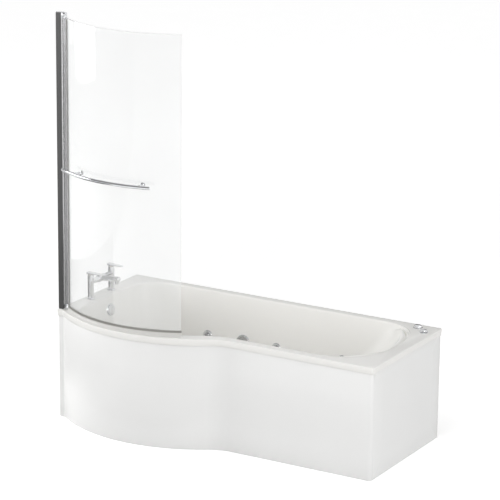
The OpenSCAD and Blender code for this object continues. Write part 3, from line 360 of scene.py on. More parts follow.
def headrest(points, head, height):
    """Shapes the head end of rings of points: the backrest ends in a rolled ridge with a crease behind
    it, both higher at the corners, and the middle of the deck's edge is scooped out behind them.

    Head and height say where each ring stands in the profile of the head end."""
    near = np.clip((points[..., 0] - rest_x) / rest_grow, 0, 1)
    near = near ** 2 * (3 - 2 * near)
    past = (head - ridge_row) / ridge_wide  # 0.5 on the ridge, 1 in the crease
    up = ridge_up * np.sin(np.pi * np.clip(past, 0, 0.5)) ** 2
    down = crease_down * (1 - np.cos(np.pi * np.clip(past - 0.5, 0, 0.5)))
    rolled = np.where(past > 1 + behind, 0, up - down + behind_up * np.clip((past - 1) / behind, 0, 1))
    fade = np.clip((height - corner_z) / corner_grow, 0, 1) * np.clip((edge_row - head) / edge_fade, 0, 1)
    y = points[..., 1]
    raised = (rolled + fade * corner_up)[:, None] - middle_down * hump(y, middle_half) * fade[:, None]
    scooped = scoop_down * hump(y, scoop_half) * np.clip((head - scoop_row) / scoop_grow, 0, 1)[:, None]
    points[..., 2] += near * (raised - scooped)


headrest(well, rows[:, 1], rows[:, 2])

# The rim's outer edge as (inset, height) rows: a small roll, then the lip, up again behind it
lip_rows = np.array([[3, 540], [1.6, 539.6], [0.6, 538.7], [0.1, 537.4], [0, 536], [1.2, 524], [2.7, 509],
                     [3.3, 508], [4.4, 508], [5, 509], [5, 532]])
rim = at_height(rim_line(lip_rows[:, 0]), lip_rows[:, 1])

# The hidden side: the same profile from the rim down, moved out by the thickness of the acrylic
floor_under_rows = floor_rows + skin_t * np.stack([-np.cos(bend), np.cos(bend), -np.sin(bend)], -1)
under_rows = np.concatenate([[[-skin_t, 1626, 534]], ledge_rows[::2][::-1] + [-skin_t, skin_t, -5],
                             wall_rows[::-2] + [-skin_t, skin_t, 0], floor_under_rows[::-1]])
under = at_height(well_line(under_rows[:, 0], under_rows[:, 1]), under_rows[:, 2])
headrest(under, np.r_[1630, under_rows[1:, 1] - skin_t], under_rows[:, 2] + 5)


def between(a, b, n):
    """Rings from ring a to ring b in n even steps."""
    t = np.linspace(0, 1, n + 1)[:, None, None]
    return a * (1 - t) + b * t


top = between(well[-1][None], rim[0][None], 6)
below = between(rim[-1][None], under[0][None], 6)
below[..., 2] = between(np.array([[[rim_z - skin_t]]]), under[0][None, :, 2:], 6)[..., 0]
floor_mid = np.array([700.0, -350.0, floor_z])
floor_top = between(floor_mid, well[0][None], 5)
floor_under = between(under[-1][None], floor_mid - [0, 0, skin_t], 5)


def acrylic(name, first, last, wave, strength, roughness, level):
    """Glossy acrylic whose colour and height change a little in long faint waves, wave in mm."""
    made, tree = finish_of(name)
    waves = add(tree, "TexNoise", {"Scale": 1000 / wave, "Detail": 1.0}, {"Vector": place_in(tree)})
    ripple = add(tree, "Bump", {"Strength": strength, "Distance": 0.002}, {"Height": waves})
    gloss = add(tree, "BsdfPrincipled", {"Roughness": roughness, "IOR": 1.49, "Specular IOR Level": level},
                {"Base Color": mixed(tree, first, last, waves), "Normal": ripple})
    show(tree, gloss)
    return made


# Cast acrylic, polished in the mould: white with a warm cast, a hard clear gloss and the very
# faint long waves of a drawn sheet.
cast_acrylic = acrylic("cast_acrylic_polished", "#F3F2EF", "#F0EFEC", 200, 0.12, 0.22, 0.35)

# Glass fibre laid up in resin behind the acrylic: a rough, slightly green white with 40 mm
# chopped strands showing.
glass_fibre, tree = finish_of("glass_fibre_resin_backing")
spot = place_in(tree)
strands = add(tree, "TexVoronoi", {"feature": "DISTANCE_TO_EDGE", "Scale": 55.0}, {"Vector": spot})
lumps = add(tree, "TexNoise", {"Scale": 60.0, "Detail": 8.0, "Roughness": 0.7}, {"Vector": spot})
tone = add(tree, "ValToRGB", None, {"Fac": lumps})
dark_end, light_end = tone.color_ramp.elements
dark_end.color, light_end.color = tint("#C9CCBC"), tint("#DCDDD0")
dark_end.position, light_end.position = 0.35, 0.65
rough = add(tree, "Bump", {"Strength": 0.5, "Distance": 0.0015}, {"Height": lumps})
rough = add(tree, "Bump", {"Strength": 0.25, "Distance": 0.001}, {"Height": strands, "Normal": rough})
resin = add(tree, "BsdfPrincipled", {"Roughness": 0.5, "IOR": 1.52}, {"Base Color": tone, "Normal": rough})
show(tree, resin)

shell = piece("bath_shell_acrylic", [
    round_skin(floor_top), round_skin(well), round_skin(top), round_skin(rim),
    round_skin(below, mat=1), round_skin(under, mat=1), round_skin(floor_under, mat=1)],
    [cast_acrylic, glass_fibre], "bath", ["bath_shell"], crease=50)


def facing(place, way, up=(0.0, 0.0, 1.0)):
    """A fitting's own axes: x across, y up and z out along way, standing at place."""
    out_of = np.asarray(way, float) / np.linalg.norm(way)
    across = np.cross(up, out_of)
    across /= np.linalg.norm(across)
    return np.asarray(place, float), np.stack([across, np.cross(out_of, across), out_of])


def standing(x, y, z=0.0):
    """Upright axes at a place."""
    return np.array([x, y, z], float), np.eye(3)


def stand(points, axes):
    """Moves points from a fitting's own axes to the bath's: place plus x, y and z times its axes."""
    return axes[0] + points @ axes[1]


def turn_ring(profile, n):
    """A turned shape about z: each (r, z) of the profile carried round, as (r cos a, r sin a, z)."""
    profile = np.asarray(profile, float)
    a = np.radians(np.linspace(0, 360, n + 1))
    height = np.broadcast_to(profile[:, 1:], (len(profile), n + 1))
    return np.stack([profile[:, :1] * np.cos(a), profile[:, :1] * np.sin(a), height], -1)


def turned(profile, axes, n=56):
    """A turned part: an (r, z) profile carried round the z of its own axes."""
    return skin(stand(turn_ring(profile, n), axes))


def rod(r, z0, z1):
    """Profile of a plain round rod."""
    return [(0, z0), (r, z0), (r, z1), (0, z1)]


def drill(made, holes, deep=25.0, crease=50):
    """Drills round (axes, radius) holes, deep each way, through a finished piece."""
    bits = [turned(rod(r, -deep, deep), axes, 40) for axes, r in holes]
    bit = piece("drill_bit", bits, [glass_fibre], "bath")
    cut = made.modifiers.new("holes", "BOOLEAN")
    cut.object, cut.solver, cut.operation = bit, "EXACT", "DIFFERENCE"
    bpy.context.view_layer.update()
    drilled = bpy.data.meshes.new_from_object(made.evaluated_get(bpy.context.evaluated_depsgraph_get()))
    made.modifiers.clear()
    made.data = drilled
    shade_smooth(drilled, crease)
    bpy.data.objects.remove(bit)


# Where the fittings go through the shell, with the radius of the hole for each kind
jet_z, overflow_z = 316.0, 470.0
tap_x, tap_y, tap_half = 42.0, -384.0, 90.0  # the tap's middle, and half its pillars' spacing
back_way, front_way = (0, -math.cos(lean), math.sin(lean)), (0, math.cos(lean), math.sin(lean))
back_jet_y = well_back - wall_in(jet_z)
jets = [facing((x, back_jet_y, jet_z), back_way) for x in (460, 847, 1208)]
jets += [facing((x, y + wall_in(jet_z), jet_z), front_way)
         for x, y in ((1155, well_front), (985, well_front), (465, -781.4))]
suction = facing((661, back_jet_y, jet_z), back_way)
overflow = facing((well_left + wall_in(overflow_z), tap_y, overflow_z), (math.cos(lean), 0, math.sin(lean)))
waste = standing(250, tap_y, floor_z)
taps = [standing(tap_x, tap_y + side * tap_half, rim_z) for side in (-1, 1)]
controls = [standing(x, y, rim_z + 0.2) for x, y in ((1597, -53), (1651, -103))]
drill(shell, [(axes, r) for r, fittings in ((18, jets), (26, [suction]), (22, [overflow]), (26, [waste]),
                                            (14.5, taps), (16, controls)) for axes in fittings])

# -------------------------------------------------- skirt panels
# Two 4 mm acrylic sheets. The front one is bent hot round the bulge, the hollow and the head
# end corner; the end one is a shallow tray. Both stand on the floor and clip up behind the lip.
panel_top, panel_in, sheet_t = 528.0, 6.0, 4.0


def panel_line(inset):
    """The front panel's line, inset from the rim's edge: tap end, hollow, bulge, hollow, head corner."""
    front, r, turn_r = -width + inset, bulge_r - inset, 26 - inset
    tap_c = hollow_centre(front, r, tap_hollow + inset, -1)
    head_c = hollow_centre(front, r, head_hollow + inset, 1)
    corner_x = length - inset - turn_r
    start = np.stack([np.linspace(6, tap_c[0], 5)[:-1], np.full(4, front)], -1)
    return np.concatenate([
        start, arc(tap_c, tap_hollow + inset, 90, degrees_to(tap_c, bulge), 12),
        arc(bulge, r, degrees_to(bulge, tap_c), degrees_to(bulge, head_c), 110)[1:-1],
        arc(head_c, head_hollow + inset, degrees_to(head_c, bulge), 90, 26),
        np.stack([np.linspace(head_c[0], corner_x, 24)[1:-1], np.full(22, front)], -1),
        arc((corner_x, front + turn_r), turn_r, -90, 0, 14)])


# Extruded acrylic sheet: a neutral white, glossy, with the faint waves of rolled sheet
sheet_acrylic = acrylic("acrylic_sheet_gloss", "#F1F1F0", "#EEEEED", 1000 / 3.5, 0.1, 0.24, 0.4)

# Section of the sheet as (part of the way from face to back, height): up its face and down its
# back, with its edges eased by 0.8 mm. Two more rows of points stand on the face.
front_line, back_line = panel_line(panel_in), panel_line(panel_in + sheet_t)
section = [(0, 0.8), (0, panel_top - 0.8), (0.12, panel_top - 0.2), (0.3, panel_top), (0.7, panel_top),
           (0.88, panel_top - 0.2), (1, panel_top - 0.8), (1, 0.8), (0.88, 0.2), (0.7, 0), (0.3, 0), (0.12, 0.2)]
loops = np.stack([np.concatenate([front_line * (1 - s) + back_line * s, np.full((len(front_line), 1), h)], -1)
                  for s, h in section], 1)
low, high = loops[:, :1], loops[:, 1:2]
loops = np.concatenate([low, low * 0.66 + high * 0.34, low * 0.33 + high * 0.67, loops[:, 1:]], 1)


def capped(loops):
    """A bar whose rows are closed loops, with each end closed to the loop's middle."""
    ends = [np.broadcast_to(loops[i].mean(0), loops[i].shape)[None] for i in (0, -1)]
    return round_skin(np.concatenate([ends[0], loops, ends[1]], 0))


piece("front_panel_acrylic", [capped(loops)], [sheet_acrylic], "bath", ["front_panel"], crease=40)

end_front, end_back, end_x, tray_deep = -673.0, -9.0, 1694.0, 14.0


def rounded(x0, x1, y0, y1, r, n=4):
    """A rectangle with rounded corners, against the clock from its lower right, as (points, 2)."""
    return np.concatenate([arc((x1 - r, y0 + r), r, -90, 0, n), arc((x1 - r, y1 - r), r, 0, 90, n),
                           arc((x0 + r, y1 - r), r, 90, 180, n), arc((x0 + r, y0 + r), r, 180, 270, n)])


def tray(inset, x, r):
    """One ring of the end tray: a rounded rectangle in y and z at x."""
    p = rounded(end_front + inset, end_back - inset, inset, panel_top - inset, r)
    return np.stack([np.full(len(p), x), p[:, 0], p[:, 1]], -1)


rings = [tray(*ring) for ring in (
    (90, end_x, 1), (2, end_x, 2), (0.6, end_x - 0.6, 2), (0, end_x - 2, 2), (0, end_x - tray_deep, 2),
    (sheet_t, end_x - tray_deep, 1.5), (sheet_t, end_x - sheet_t, 1.5), (90, end_x - sheet_t, 1))]
piece("end_panel_acrylic", [capped(np.stack(rings))], [sheet_acrylic], "bath", ["end_panel"])

# -------------------------------------------------- hidden timber, feet and brackets
# What carries the bath: a chipboard board glued under the well, softwood battens under the rim
# and on the floor, two folded steel rails on screwed feet, and steel brackets to the wall.


def mottled(name, light, dark, size, smooth, rough, dent=0.0, stretch=(1, 1, 1), **more):
    """A material whose colour, roughness and height follow one noise of that size in mm; stretch
    draws the noise out along an axis, and more sets other Principled sockets (spaces as _)."""
    made, tree = finish_of(name)
    spot = add(tree, "Mapping", {"Scale": tuple(1 / k for k in stretch)}, {"Vector": place_in(tree)})
    noise = add(tree, "TexNoise", {"Scale": 1000 / size, "Detail": 4.0}, {"Vector": spot})
    tone = mixed(tree, light, dark, noise)
    polish = add(tree, "MapRange", {"To Min": smooth, "To Max": rough}, {"Value": noise})
    height = add(tree, "Bump", {"Strength": min(1.0, dent * 2), "Distance": 0.0005}, {"Height": noise})
    surface = add(tree, "BsdfPrincipled", {key.replace("_", " "): value for key, value in more.items()},
                  {"Base Color": tone, "Roughness": polish, "Normal": height})
    show(tree, surface)
    return made


def coat(finish, *nodes):
    """Gives CAD nodes a material; their shape stays as it is."""
    for n in nodes:
        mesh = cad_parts[n].data
        mesh.materials.clear()
        mesh.materials.append(finish)


# Planed softwood: pale yellow-brown with darker 6 mm growth lines along the length
softwood, tree = finish_of("planed_softwood")
along = add(tree, "Mapping", {"Scale": (1.5, 40.0, 40.0)}, {"Vector": place_in(tree)})
growth = add(tree, "TexWave", {"Scale": 1.3, "Distortion": 5.0, "Detail": 3.0, "bands_direction": "DIAGONAL"},
             {"Vector": along})
tone = mixed(tree, "#DDBE8C", "#C39A62", growth)
height = add(tree, "Bump", {"Strength": 0.25, "Distance": 0.0004}, {"Height": growth})
wood = add(tree, "BsdfPrincipled", {"Roughness": 0.62}, {"Base Color": tone, "Normal": height})
show(tree, wood)

# Chipboard sealed with resin: 8 mm flat chips in several browns under a thin gloss
chipboard, tree = finish_of("sealed_chipboard")
chips = add(tree, "TexVoronoi", {"Scale": 140.0}, {"Vector": place_in(tree)})
tone = add(tree, "ValToRGB", None, {"Fac": chips})
dark_end, light_end = tone.color_ramp.elements
dark_end.color, light_end.color = tint("#8F6B3F"), tint("#CDAA74")
height = add(tree, "Bump", {"Strength": 0.35, "Distance": 0.0004}, {"Height": chips})
board = add(tree, "BsdfPrincipled", {"Roughness": 0.5, "Coat Weight": 0.2}, {"Base Color": tone, "Normal": height})
show(tree, board)

# Bright zinc plate on pressed steel, a cold bright grey; black rubber of washers and seals, dull;
# black moulded nylon with a fine spark texture
zinc = mottled("bright_zinc_plate", "#C9CDD1", "#AEB3B8", 12, 0.22, 0.42, 0.15, Metallic=1.0)
rubber = mottled("black_rubber", "#26272A", "#1B1C1E", 3, 0.55, 0.75, 0.3)
black_plastic = mottled("black_moulded_nylon", "#2B2C2F", "#222326", 2, 0.35, 0.5, 0.3)
coat(softwood, "rim_battens", "floor_battens")
coat(chipboard, "base_board")
coat(zinc, "cradle_rails", "foot_studs", "foot_nuts", "wood_screws", "wall_brackets")
coat(rubber, "waste_washers")

# -------------------------------------------------- bath screen: wall channel and pivots
# Anodised aluminium: a dark channel screwed to the wall, a bright adjuster that slides in it,
# and pivot blocks at both ends with a rounded nose about the hinge axis.
hinge = np.array([50.0, -679.597])
hy = hinge[1]
channel_foot, channel_top = 543.0, 1973.0
glass_mid, glass_r = np.array([442.0, -228.0]), 598.0
hinge_turn = degrees_to(glass_mid, hinge)
wall_x, lips_x, channel_half, channel_t = 4.0, 31.0, 13.0, 1.8


def curve(a, b, c, n):
    """Points of a quadratic curve from a to c that heads for b: (1 - t)^2 a + 2 t (1 - t) b + t^2 c."""
    t = np.linspace(0, 1, n + 1)[:, None]
    return (1 - t) ** 2 * np.asarray(a) + 2 * t * (1 - t) * np.asarray(b) + t ** 2 * np.asarray(c)


def bent(corners, r, n=4):
    """A line through the corners with each inner corner rounded to radius r."""
    corners = np.asarray(corners, float)
    line = [corners[:1]]
    for a, b, c in zip(corners, corners[1:], corners[2:]):
        back, ahead = np.linalg.norm(a - b), np.linalg.norm(c - b)
        u, v = (a - b) / back, (c - b) / ahead
        cut = min(r / math.tan(math.acos(np.clip(u @ v, -1, 1)) / 2), 0.49 * back, 0.49 * ahead)
        line.append(curve(b + u * cut, b, b + v * cut, n))
    return np.concatenate([*line, corners[-1:]])


def folded(inset, r):
    """The wall channel's section inset from its outer face, open to the room, with corners of radius r."""
    low, high = hy - channel_half + inset, hy + channel_half - inset
    return bent([(lips_x, low), (wall_x + inset, low), (wall_x + inset, high), (lips_x, high)], r)


def channel(outer, inner, levels):
    """A bar with a folded section: the outer line out and the inner line back, both the same number
    of points, stood at each level, with the two ends closed by a strip between the lines."""
    loop = np.concatenate([outer, inner[::-1]])
    tall = at_height(np.broadcast_to(loop, (len(levels), *loop.shape)), levels)
    return [round_skin(tall), *(skin(at_height(np.stack([outer, inner]), [z, z])) for z in (levels[0], levels[-1]))]


# Satin anodised dark grey aluminium, with die lines running up the bar
dark_aluminium = mottled("satin_anodised_grey_aluminium", "#5E5E5E", "#585858", 1.2, 0.46, 0.54, 0.05,
                         (1, 1, 60), Metallic=0.6)
# Bright anodised aluminium: polished before anodising, so nearly a mirror with a soft bloom
bright_aluminium = mottled("bright_anodised_aluminium", "#D0D0D1", "#C8C8C9", 1.5, 0.22, 0.28, 0.02,
                           (1, 1, 60), Metallic=0.8)
# Bright chrome plate on brass: a mirror, slightly cold
chrome = mottled("bright_chrome_plate", "#E2E3E5", "#DCDDDF", 30, 0.04, 0.06, 0.0, Metallic=1.0)


def chromed(name, skins, body, node, crease=32):
    """A piece in bright chrome plate, in place of a CAD node."""
    piece(name, skins, [chrome], body, [node], crease)


levels = [channel_foot, channel_foot + 0.3, channel_top - 0.3, channel_top]
piece("wall_profile_channel", channel(folded(0, 1.2), folded(channel_t, 0.5), levels),
      [dark_aluminium], "bath", ["wall_profile"])

# The adjuster is a tube whose exposed edge has two shallow flutes
tube = [0, hy] + np.array([(39, -9.8), (39, -4.2), (38.2, -3.2), (38.2, 3.2), (39, 4.2), (39, 9.8), (37.8, 11),
                           (33, 11), (14.8, 11), (14, 10.2), (14, -10.2), (14.8, -11), (33, -11), (37.8, -11)])
void = [0, hy] + np.array([(37, -8.4), (37, -4.2), (36.2, -3.2), (36.2, 3.2), (37, 4.2), (37, 8.4), (36.4, 9),
                           (33, 9), (16.6, 9), (16, 8.4), (16, -8.4), (16.6, -9), (33, -9), (36.4, -9)])
levels = [569.2, 569.5, 1946.5, 1946.8]
sides = [round_skin(at_height(np.stack([line] * 4), levels)) for line in (tube, void)]
ends = [round_skin(at_height(np.stack([tube, void]), [z, z])) for z in (levels[0], levels[-1])]
piece("adjuster_tube", sides + ends, [bright_aluminium], "bath", ["adjuster_profile"], crease=25)


def nose(z0, z1):
    """A pivot block: square inside the channel, narrower and rounded about the hinge axis outside it."""
    low = [(10, hy - 10), (11, hy - 11), (38, hy - 11), (39, hy - 10), (39.4, hy - 8.4)]
    high = [(39.4, hy + 8.4), (39, hy + 10), (38, hy + 11), (11, hy + 11), (10, hy + 10)]
    side, middle = np.concatenate([low, arc(hinge, 8.9, -75, 75, 20), high]), np.array([30.0, hy])
    eased = np.stack([middle + (side - middle) * k for k in (0.96, 1, 1, 0.96)])
    return capped(at_height(eased, [z0, z0 + 0.8, z1 - 0.8, z1]))


def pin(place, r, z0, z1):
    """A round pin with eased ends, standing at place."""
    profile = [(0, z0), (r - 0.3, z0), (r, z0 + 0.3), (r, z1 - 0.3), (r - 0.3, z1), (0, z1)]
    return turned(profile, standing(*place), 24)


chromed("bottom_pivot_block", [nose(channel_foot, 568.8), pin(hinge, 4, 567, 590)], "bath", "bottom_pivot")
lid = np.stack([rounded(4, 39, hy - 13, hy + 13, 2)] * 3 + [rounded(5, 38, hy - 12, hy + 12, 2)])
lid = capped(at_height(lid, channel_top + np.array([0, 0.1, 1.4, 2])))
chromed("top_pivot_block", [nose(1947.2, channel_top), pin(hinge, 4, 1926, 1949), lid], "bath", "top_pivot")

# -------------------------------------------------- bath screen: glass, hinge, seal and rail
# The swinging leaf: 6 mm curved toughened glass held in a bright aluminium hinge bar, a soft
# clear seal that grips its foot and wipes the rim, and a chrome rail on two posts.
bar_foot, bar_top = 570, 1946
glass_end = glass_r * math.radians(-61.5 - hinge_turn)  # mm from the hinge to the free edge


def degrees_at(s):
    """The direction from the glass's centre, in degrees, s mm past the hinge along the glass."""
    return hinge_turn + np.degrees(np.asarray(s, float) / glass_r)


def on_glass(line, degrees):
    """Carries a line of (distance outside the glass's middle, height) points to each direction: the
    glass's centre plus (its radius plus the distance) times (cos a, sin a), at the height."""
    line, a = np.asarray(line, float), np.radians(degrees)[:, None]
    r, z = (glass_r + line[:, 0]) * np.ones_like(a), line[:, 1] * np.ones_like(a)
    return np.stack([glass_mid[0] + r * np.cos(a), glass_mid[1] + r * np.sin(a), z], -1)


def along_glass(section, s0, s1, n):
    """Rings of a section swept along the screen's curve from s0 to s1 mm past the hinge."""
    return on_glass(section, np.linspace(degrees_at(s0), degrees_at(s1), n + 1))


# Clear toughened glass: a faint green grey that shows in the cut edges, with the rollers' waves
# 330 mm long. Lamps pass through it.
clear_glass, tree = finish_of("clear_toughened_glass")
path = add(tree, "LightPath")
draw = add(tree, "TexNoise", {"Scale": 3.0, "Detail": 1.0}, {"Vector": place_in(tree)})
height = add(tree, "Bump", {"Strength": 0.02, "Distance": 0.001}, {"Height": draw})
tone = add(tree, "Mix", {"data_type": "RGBA", 6: (0.935, 0.939, 0.937, 1), 7: (0.931, 0.935, 0.933, 1)}, {0: draw})
pane = add(tree, "BsdfPrincipled", {"Roughness": 0.0, "IOR": 1.5, "Transmission Weight": 0.86},
           {"Base Color": (tone, 2), "Normal": height})
clear = add(tree, "BsdfTransparent", {"Color": (0.93, 0.94, 0.94, 1)})
choice = add(tree, "MixShader", None, {0: (path, "Is Shadow Ray"), 1: pane, 2: clear})
show(tree, choice)

slab = [(-3, 552.6), (-2.4, 552), (2.4, 552), (3, 552.6), (3, 1100), (3, 1500), (3, 1952.4), (2.4, 1953),
        (-2.4, 1953), (-3, 1952.4), (-3, 1500), (-3, 1100)]
glass = piece("screen_glass", [capped(along_glass(slab, 13, glass_end, 90))], [clear_glass], "screen",
              ["glass_panel"], crease=30)
rail_r, rail_z = 646.0, 1250.0


def on_rail(angle):
    """Axes of a rail post: z points away from the glass's centre at that angle, y up."""
    a = math.radians(angle)
    out_of, up = np.array([math.cos(a), math.sin(a), 0.0]), np.array([0, 0, 1.0])
    return np.array([*(glass_mid + glass_r * out_of[:2]), rail_z]), np.stack([np.cross(up, out_of), up, out_of])


posts = [on_rail(angle) for angle in (-114.5, -79)]  # degrees round the glass's centre
drill(glass, [(axes, 6) for axes in posts], 15, 30)

bar = arc((0, 0), 8.5, 0, 360, 48)[:-1] + hinge
piece("hinge_bar", [capped(at_height(np.stack([bar, bar]), [bar_foot, bar_top])),
                    *(capped(along_glass([(a, bar_foot), (b, bar_foot), (b, bar_top), (a, bar_top)], 4, s1, n))
                      for a, b, s1, n in ((-3.6, -7, 28, 8), (7, 3.6, 28, 8))),
                    capped(along_glass([(-4, bar_foot), (-4, bar_top), (4, bar_top), (4, bar_foot)], 4, 12, 3))],
      [bright_aluminium], "screen", ["hinge_profile"])

# Soft clear vinyl: grips and fin are milky. Above 559.5 mm, where the glass's foot sits in the grip, the vinyl is
# painted darker: painted shade, not a colour of the vinyl
clear_vinyl, tree = finish_of("soft_clear_vinyl")
spot = place_in(tree)
level = add(tree, "SeparateXYZ", None, {"Vector": spot})
# painted shade: 0 below 555.5 mm and 1 above 559.5 mm, where the glass sits in the grip
glass_foot_shade = add(tree, "MapRange", {"From Min": 0.5555, "From Max": 0.5595}, {"Value": (level, 2)})
cloud = add(tree, "TexNoise", {"Scale": 40.0, "Detail": 2.0}, {"Vector": spot})  # 25 mm
tone = mixed(tree, "#EDECE9", "#96948F", glass_foot_shade)
rough = add(tree, "MapRange", {"To Min": 0.28, "To Max": 0.36}, {"Value": cloud})
soft = add(tree, "BsdfPrincipled", {"IOR": 1.53, "Transmission Weight": 0.2},
           {"Base Color": tone, "Roughness": rough})
show(tree, soft)

# The seal's grip folds round the glass's foot, and its fin leans out over the rim
grip_in = [(3.1, 567), (3.1, 552.2), (0, 551.8), (-3.1, 552.2), (-3.1, 567)]
grip_out = [(5, 567), (5, 549), (0, 540.8), (-5, 540.8), (-5, 567)]
fin = np.concatenate([curve((4.5, 550.5), (6.5, 543.5), (13.5, 541.6), 6),
                      curve((3.0, 541.0), (7.0, 541.0), (13.2, 540.5), 6)[::-1]])
seal_span = (19, glass_end + 2)
ends = [skin(np.stack([on_glass(line, [degrees_at(s)])[0] for line in (grip_out, grip_in)])) for s in seal_span]
piece("rim_seal", [round_skin(along_glass(grip_out + grip_in[::-1], *seal_span, 100)), *ends,
                   capped(along_glass(fin, *seal_span, 100))],
      [clear_vinyl], "screen", ["bottom_seal"], crease=40)
coat(clear_vinyl, "glass_gasket")


def swept(path, r, n):
    """A round bar along a path of points: rings of n points about each, square to the path."""
    way = np.gradient(path, axis=0)
    way /= np.linalg.norm(way, axis=1, keepdims=True)
    side = np.cross(way, [0, 0, 1.0])
    side /= np.linalg.norm(side, axis=1, keepdims=True)
    high = np.cross(side, way)
    a = np.linspace(0, 2 * np.pi, n + 1)[:-1, None]
    return path[:, None] + r[:, None, None] * (np.cos(a) * side[:, None] + np.sin(a) * high[:, None])


a = np.radians(np.concatenate([[-123.6], np.linspace(-123.55, -74.35, 81), [-74.3]]))
bow = np.stack([glass_mid[0] + rail_r * np.cos(a), glass_mid[1] + rail_r * np.sin(a), np.full(len(a), rail_z)], -1)
bow_r = np.full(len(a), 8.0)
bow_r[[0, -1]] = 7.2  # the ends are eased
chromed("towel_rail_bar", [capped(swept(bow, bow_r, 32))], "screen", "towel_rail", crease=30)
post = [(0, 3.3), (10.4, 3.3), (11, 3.9), (11, 5.6), (10.2, 6.4), (7.6, 7.4), (6.6, 9), (6.4, 14), (6.4, 34),
        (7, 38.5), (8.2, 40.6), (0, 40.6)]
cap = [(0, -3.3), (10.4, -3.3), (11, -3.9), (11, -7.4), (10, -8.8), (0, -9.3)]
profiles = ((post, 40), (cap, 40), (rod(4, -4, 4), 24))
chromed("rail_posts", [turned(line, axes, n) for axes in posts for line, n in profiles], "screen", "rail_fixings")

# -------------------------------------------------- deck mixer tap
# Chrome on brass: two pillars on the deck, a round bridge with a hub in the middle, a short
# spout that rises a little, and a flat paddle lever on each pillar.
bridge_z, rise = 624.0, math.radians(4)  # the bridge's height, and how the spout rises
reach, mouth_z = 92.0, 611.0  # the spout's mouth
pillar = [(0, -58), (9.8, -58), (10.4, -57.4), (10.4, -19.6), (10.8, -19.2), (10.8, 3), (14.5, 3.2),
          (14.5, 119.4), (14.1, 121), (12.6, 122), (0, 122)]
bridge = [(0, 0), (12.5, 0), (12.5, 62), (13.2, 64), (16.5, 65.5), (16.5, 114.5), (13.2, 116), (12.5, 118),
          (12.5, 180), (0, 180)]
spout = [(0, 0), (13.6, 0), (13.2, 30), (13, 60), *arc((5, 100), 8, 0, 90, 7), (0, 108)]
mouth = [(8.5, 0), (10.1, 0), (10.5, 0.5), (10.5, 14), (0, 14), (0, 9), (8.5, 9), (8.5, 0)]
chromed("tap_body_chrome", [
    *(turned(pillar, on) for on in taps),
    turned(bridge, facing((tap_x, tap_y - tap_half, bridge_z), (0, 1, 0))),
    turned(spout, facing((tap_x, tap_y, bridge_z), (math.cos(rise), 0, math.sin(rise)))),
    turned(mouth, standing(tap_x + reach, tap_y, mouth_z))], "bath", "tap_body")
flange = [(14.6, 0), (20.4, 0), (21, 0.5), (21, 2), (20, 3), (17.2, 6.4), (16.2, 7.4), (14.6, 7.5), (14.6, 0)]
chromed("tap_deck_flanges", [turned(flange, (at + [0, 0, 0.2], axes)) for at, axes in taps], "bath", "tap_flanges")

# A paddle: rings of its outline drawn in at the top and bottom edges, thinner towards the tip. Each
# ring is (part of the outline's size, part of the way from underside to top).
tip = np.concatenate([arc((-9, 0), 13, 88, 272, 20), arc((55, 0), 11, -88, 88, 20)])
middle, way_out = np.array([20.0, 0.0]), (tip[:, 0] + 22) / 88
low, high = 126 + 1.6 * way_out, 133 - 2.2 * way_out
rings = ((0.8, 0), (0.95, 0), (1, 0.15), (1, 0.8), (0.97, 0.95), (0.9, 1), (0.5, 1))
paddle = capped(np.stack([np.concatenate([middle + (tip - middle) * k, (low + (high - low) * up)[:, None]], -1)
                          for k, up in rings]))
for name, on in zip(("hot_lever", "cold_lever"), taps):
    hub = turned([(0, 124), (14, 124), (14.5, 124.5), (14.5, 126.4), (13, 128.5), (0, 128.5)], on)
    stem = turned([(0, 102), (3.7, 102), (4, 102.3), (4, 125), (0, 125)], on, 24)
    chromed(name + "_paddle", [(paddle[0] + on[0], *paddle[1:]), hub, stem], name, name)

# Turned brass of back nuts and cartridges: yellow, with the dull sheen of fine tool marks
brass = mottled("turned_brass", "#D2A95A", "#C0964A", 8, 0.25, 0.35, 0.05, Metallic=1.0)
coat(brass, "tap_back_nuts", "tap_cartridges")
coat(chrome, "tap_aerator")

# -------------------------------------------------- overflow and pop-up waste
# A fluted chrome knob on a round face below the taps turns a cable, which lifts the domed plug
# in the well floor. The bodies, hose and cable behind the walls are the CAD's.


def fluted(profile, depth, r_min, z_min, axes):
    """A turned knob with twelve flutes: outside r_min and above z_min its radius shrinks by depth
    times the square of cos 12 a, where that cosine is above 0."""
    profile = np.asarray(profile, float)
    knob = turn_ring(profile, 144)
    dip = np.clip(np.cos(12 * np.linspace(0, 2 * np.pi, 145)), 0, 1) ** 2
    knob[..., :2] *= (1 - depth * dip * ((profile[:, :1] > r_min) & (profile[:, 1:] > z_min)))[..., None]
    return skin(stand(knob, axes))


face = [(4.1, 0.2), (30.4, 0.2), (31, 0.8), (31, 2.2), (29.6, 3.5), (24, 3.7), (4.1, 3.7), (4.1, 0.2)]
neck = [(4.1, -8), (17.8, -8), (17.8, 0.4), (4.1, 0.4), (4.1, -8)]
chromed("overflow_face_plate", [turned(face, overflow, 72), turned(neck, overflow)], "bath", "overflow_face")
knob = [(0, 5.5), (19.8, 5.5), (20, 4.2), (24.4, 4.2), (25, 5.2), (25, 12), (24.4, 14.4), (22.6, 16.3), (19, 17.2),
        (0, 17.2)]
drum = [(4, -26), (13.6, -26), (14, -25.6), (14, -23.4), (13.6, -23), (4, -23), (4, -26)]
chromed("overflow_knob_fluted", [fluted(knob, 0.045, 20.5, 4.3, overflow), turned(rod(4, -32, 6), overflow, 24),
                                 turned(drum, overflow, 40)], "overflow_knob", "overflow_knob")
plug = [(0, -3), (20, -3), (21.5, -1.5), (21.5, 1.2), *arc((0, -60.9), 66, 71.5, 90, 7)]
chromed("waste_plug_dome", [turned(plug, waste, 64), turned(rod(4, -40, -2.8), waste, 24)],
        "waste_plug", "waste_plug")
coat(chrome, "waste_flange")

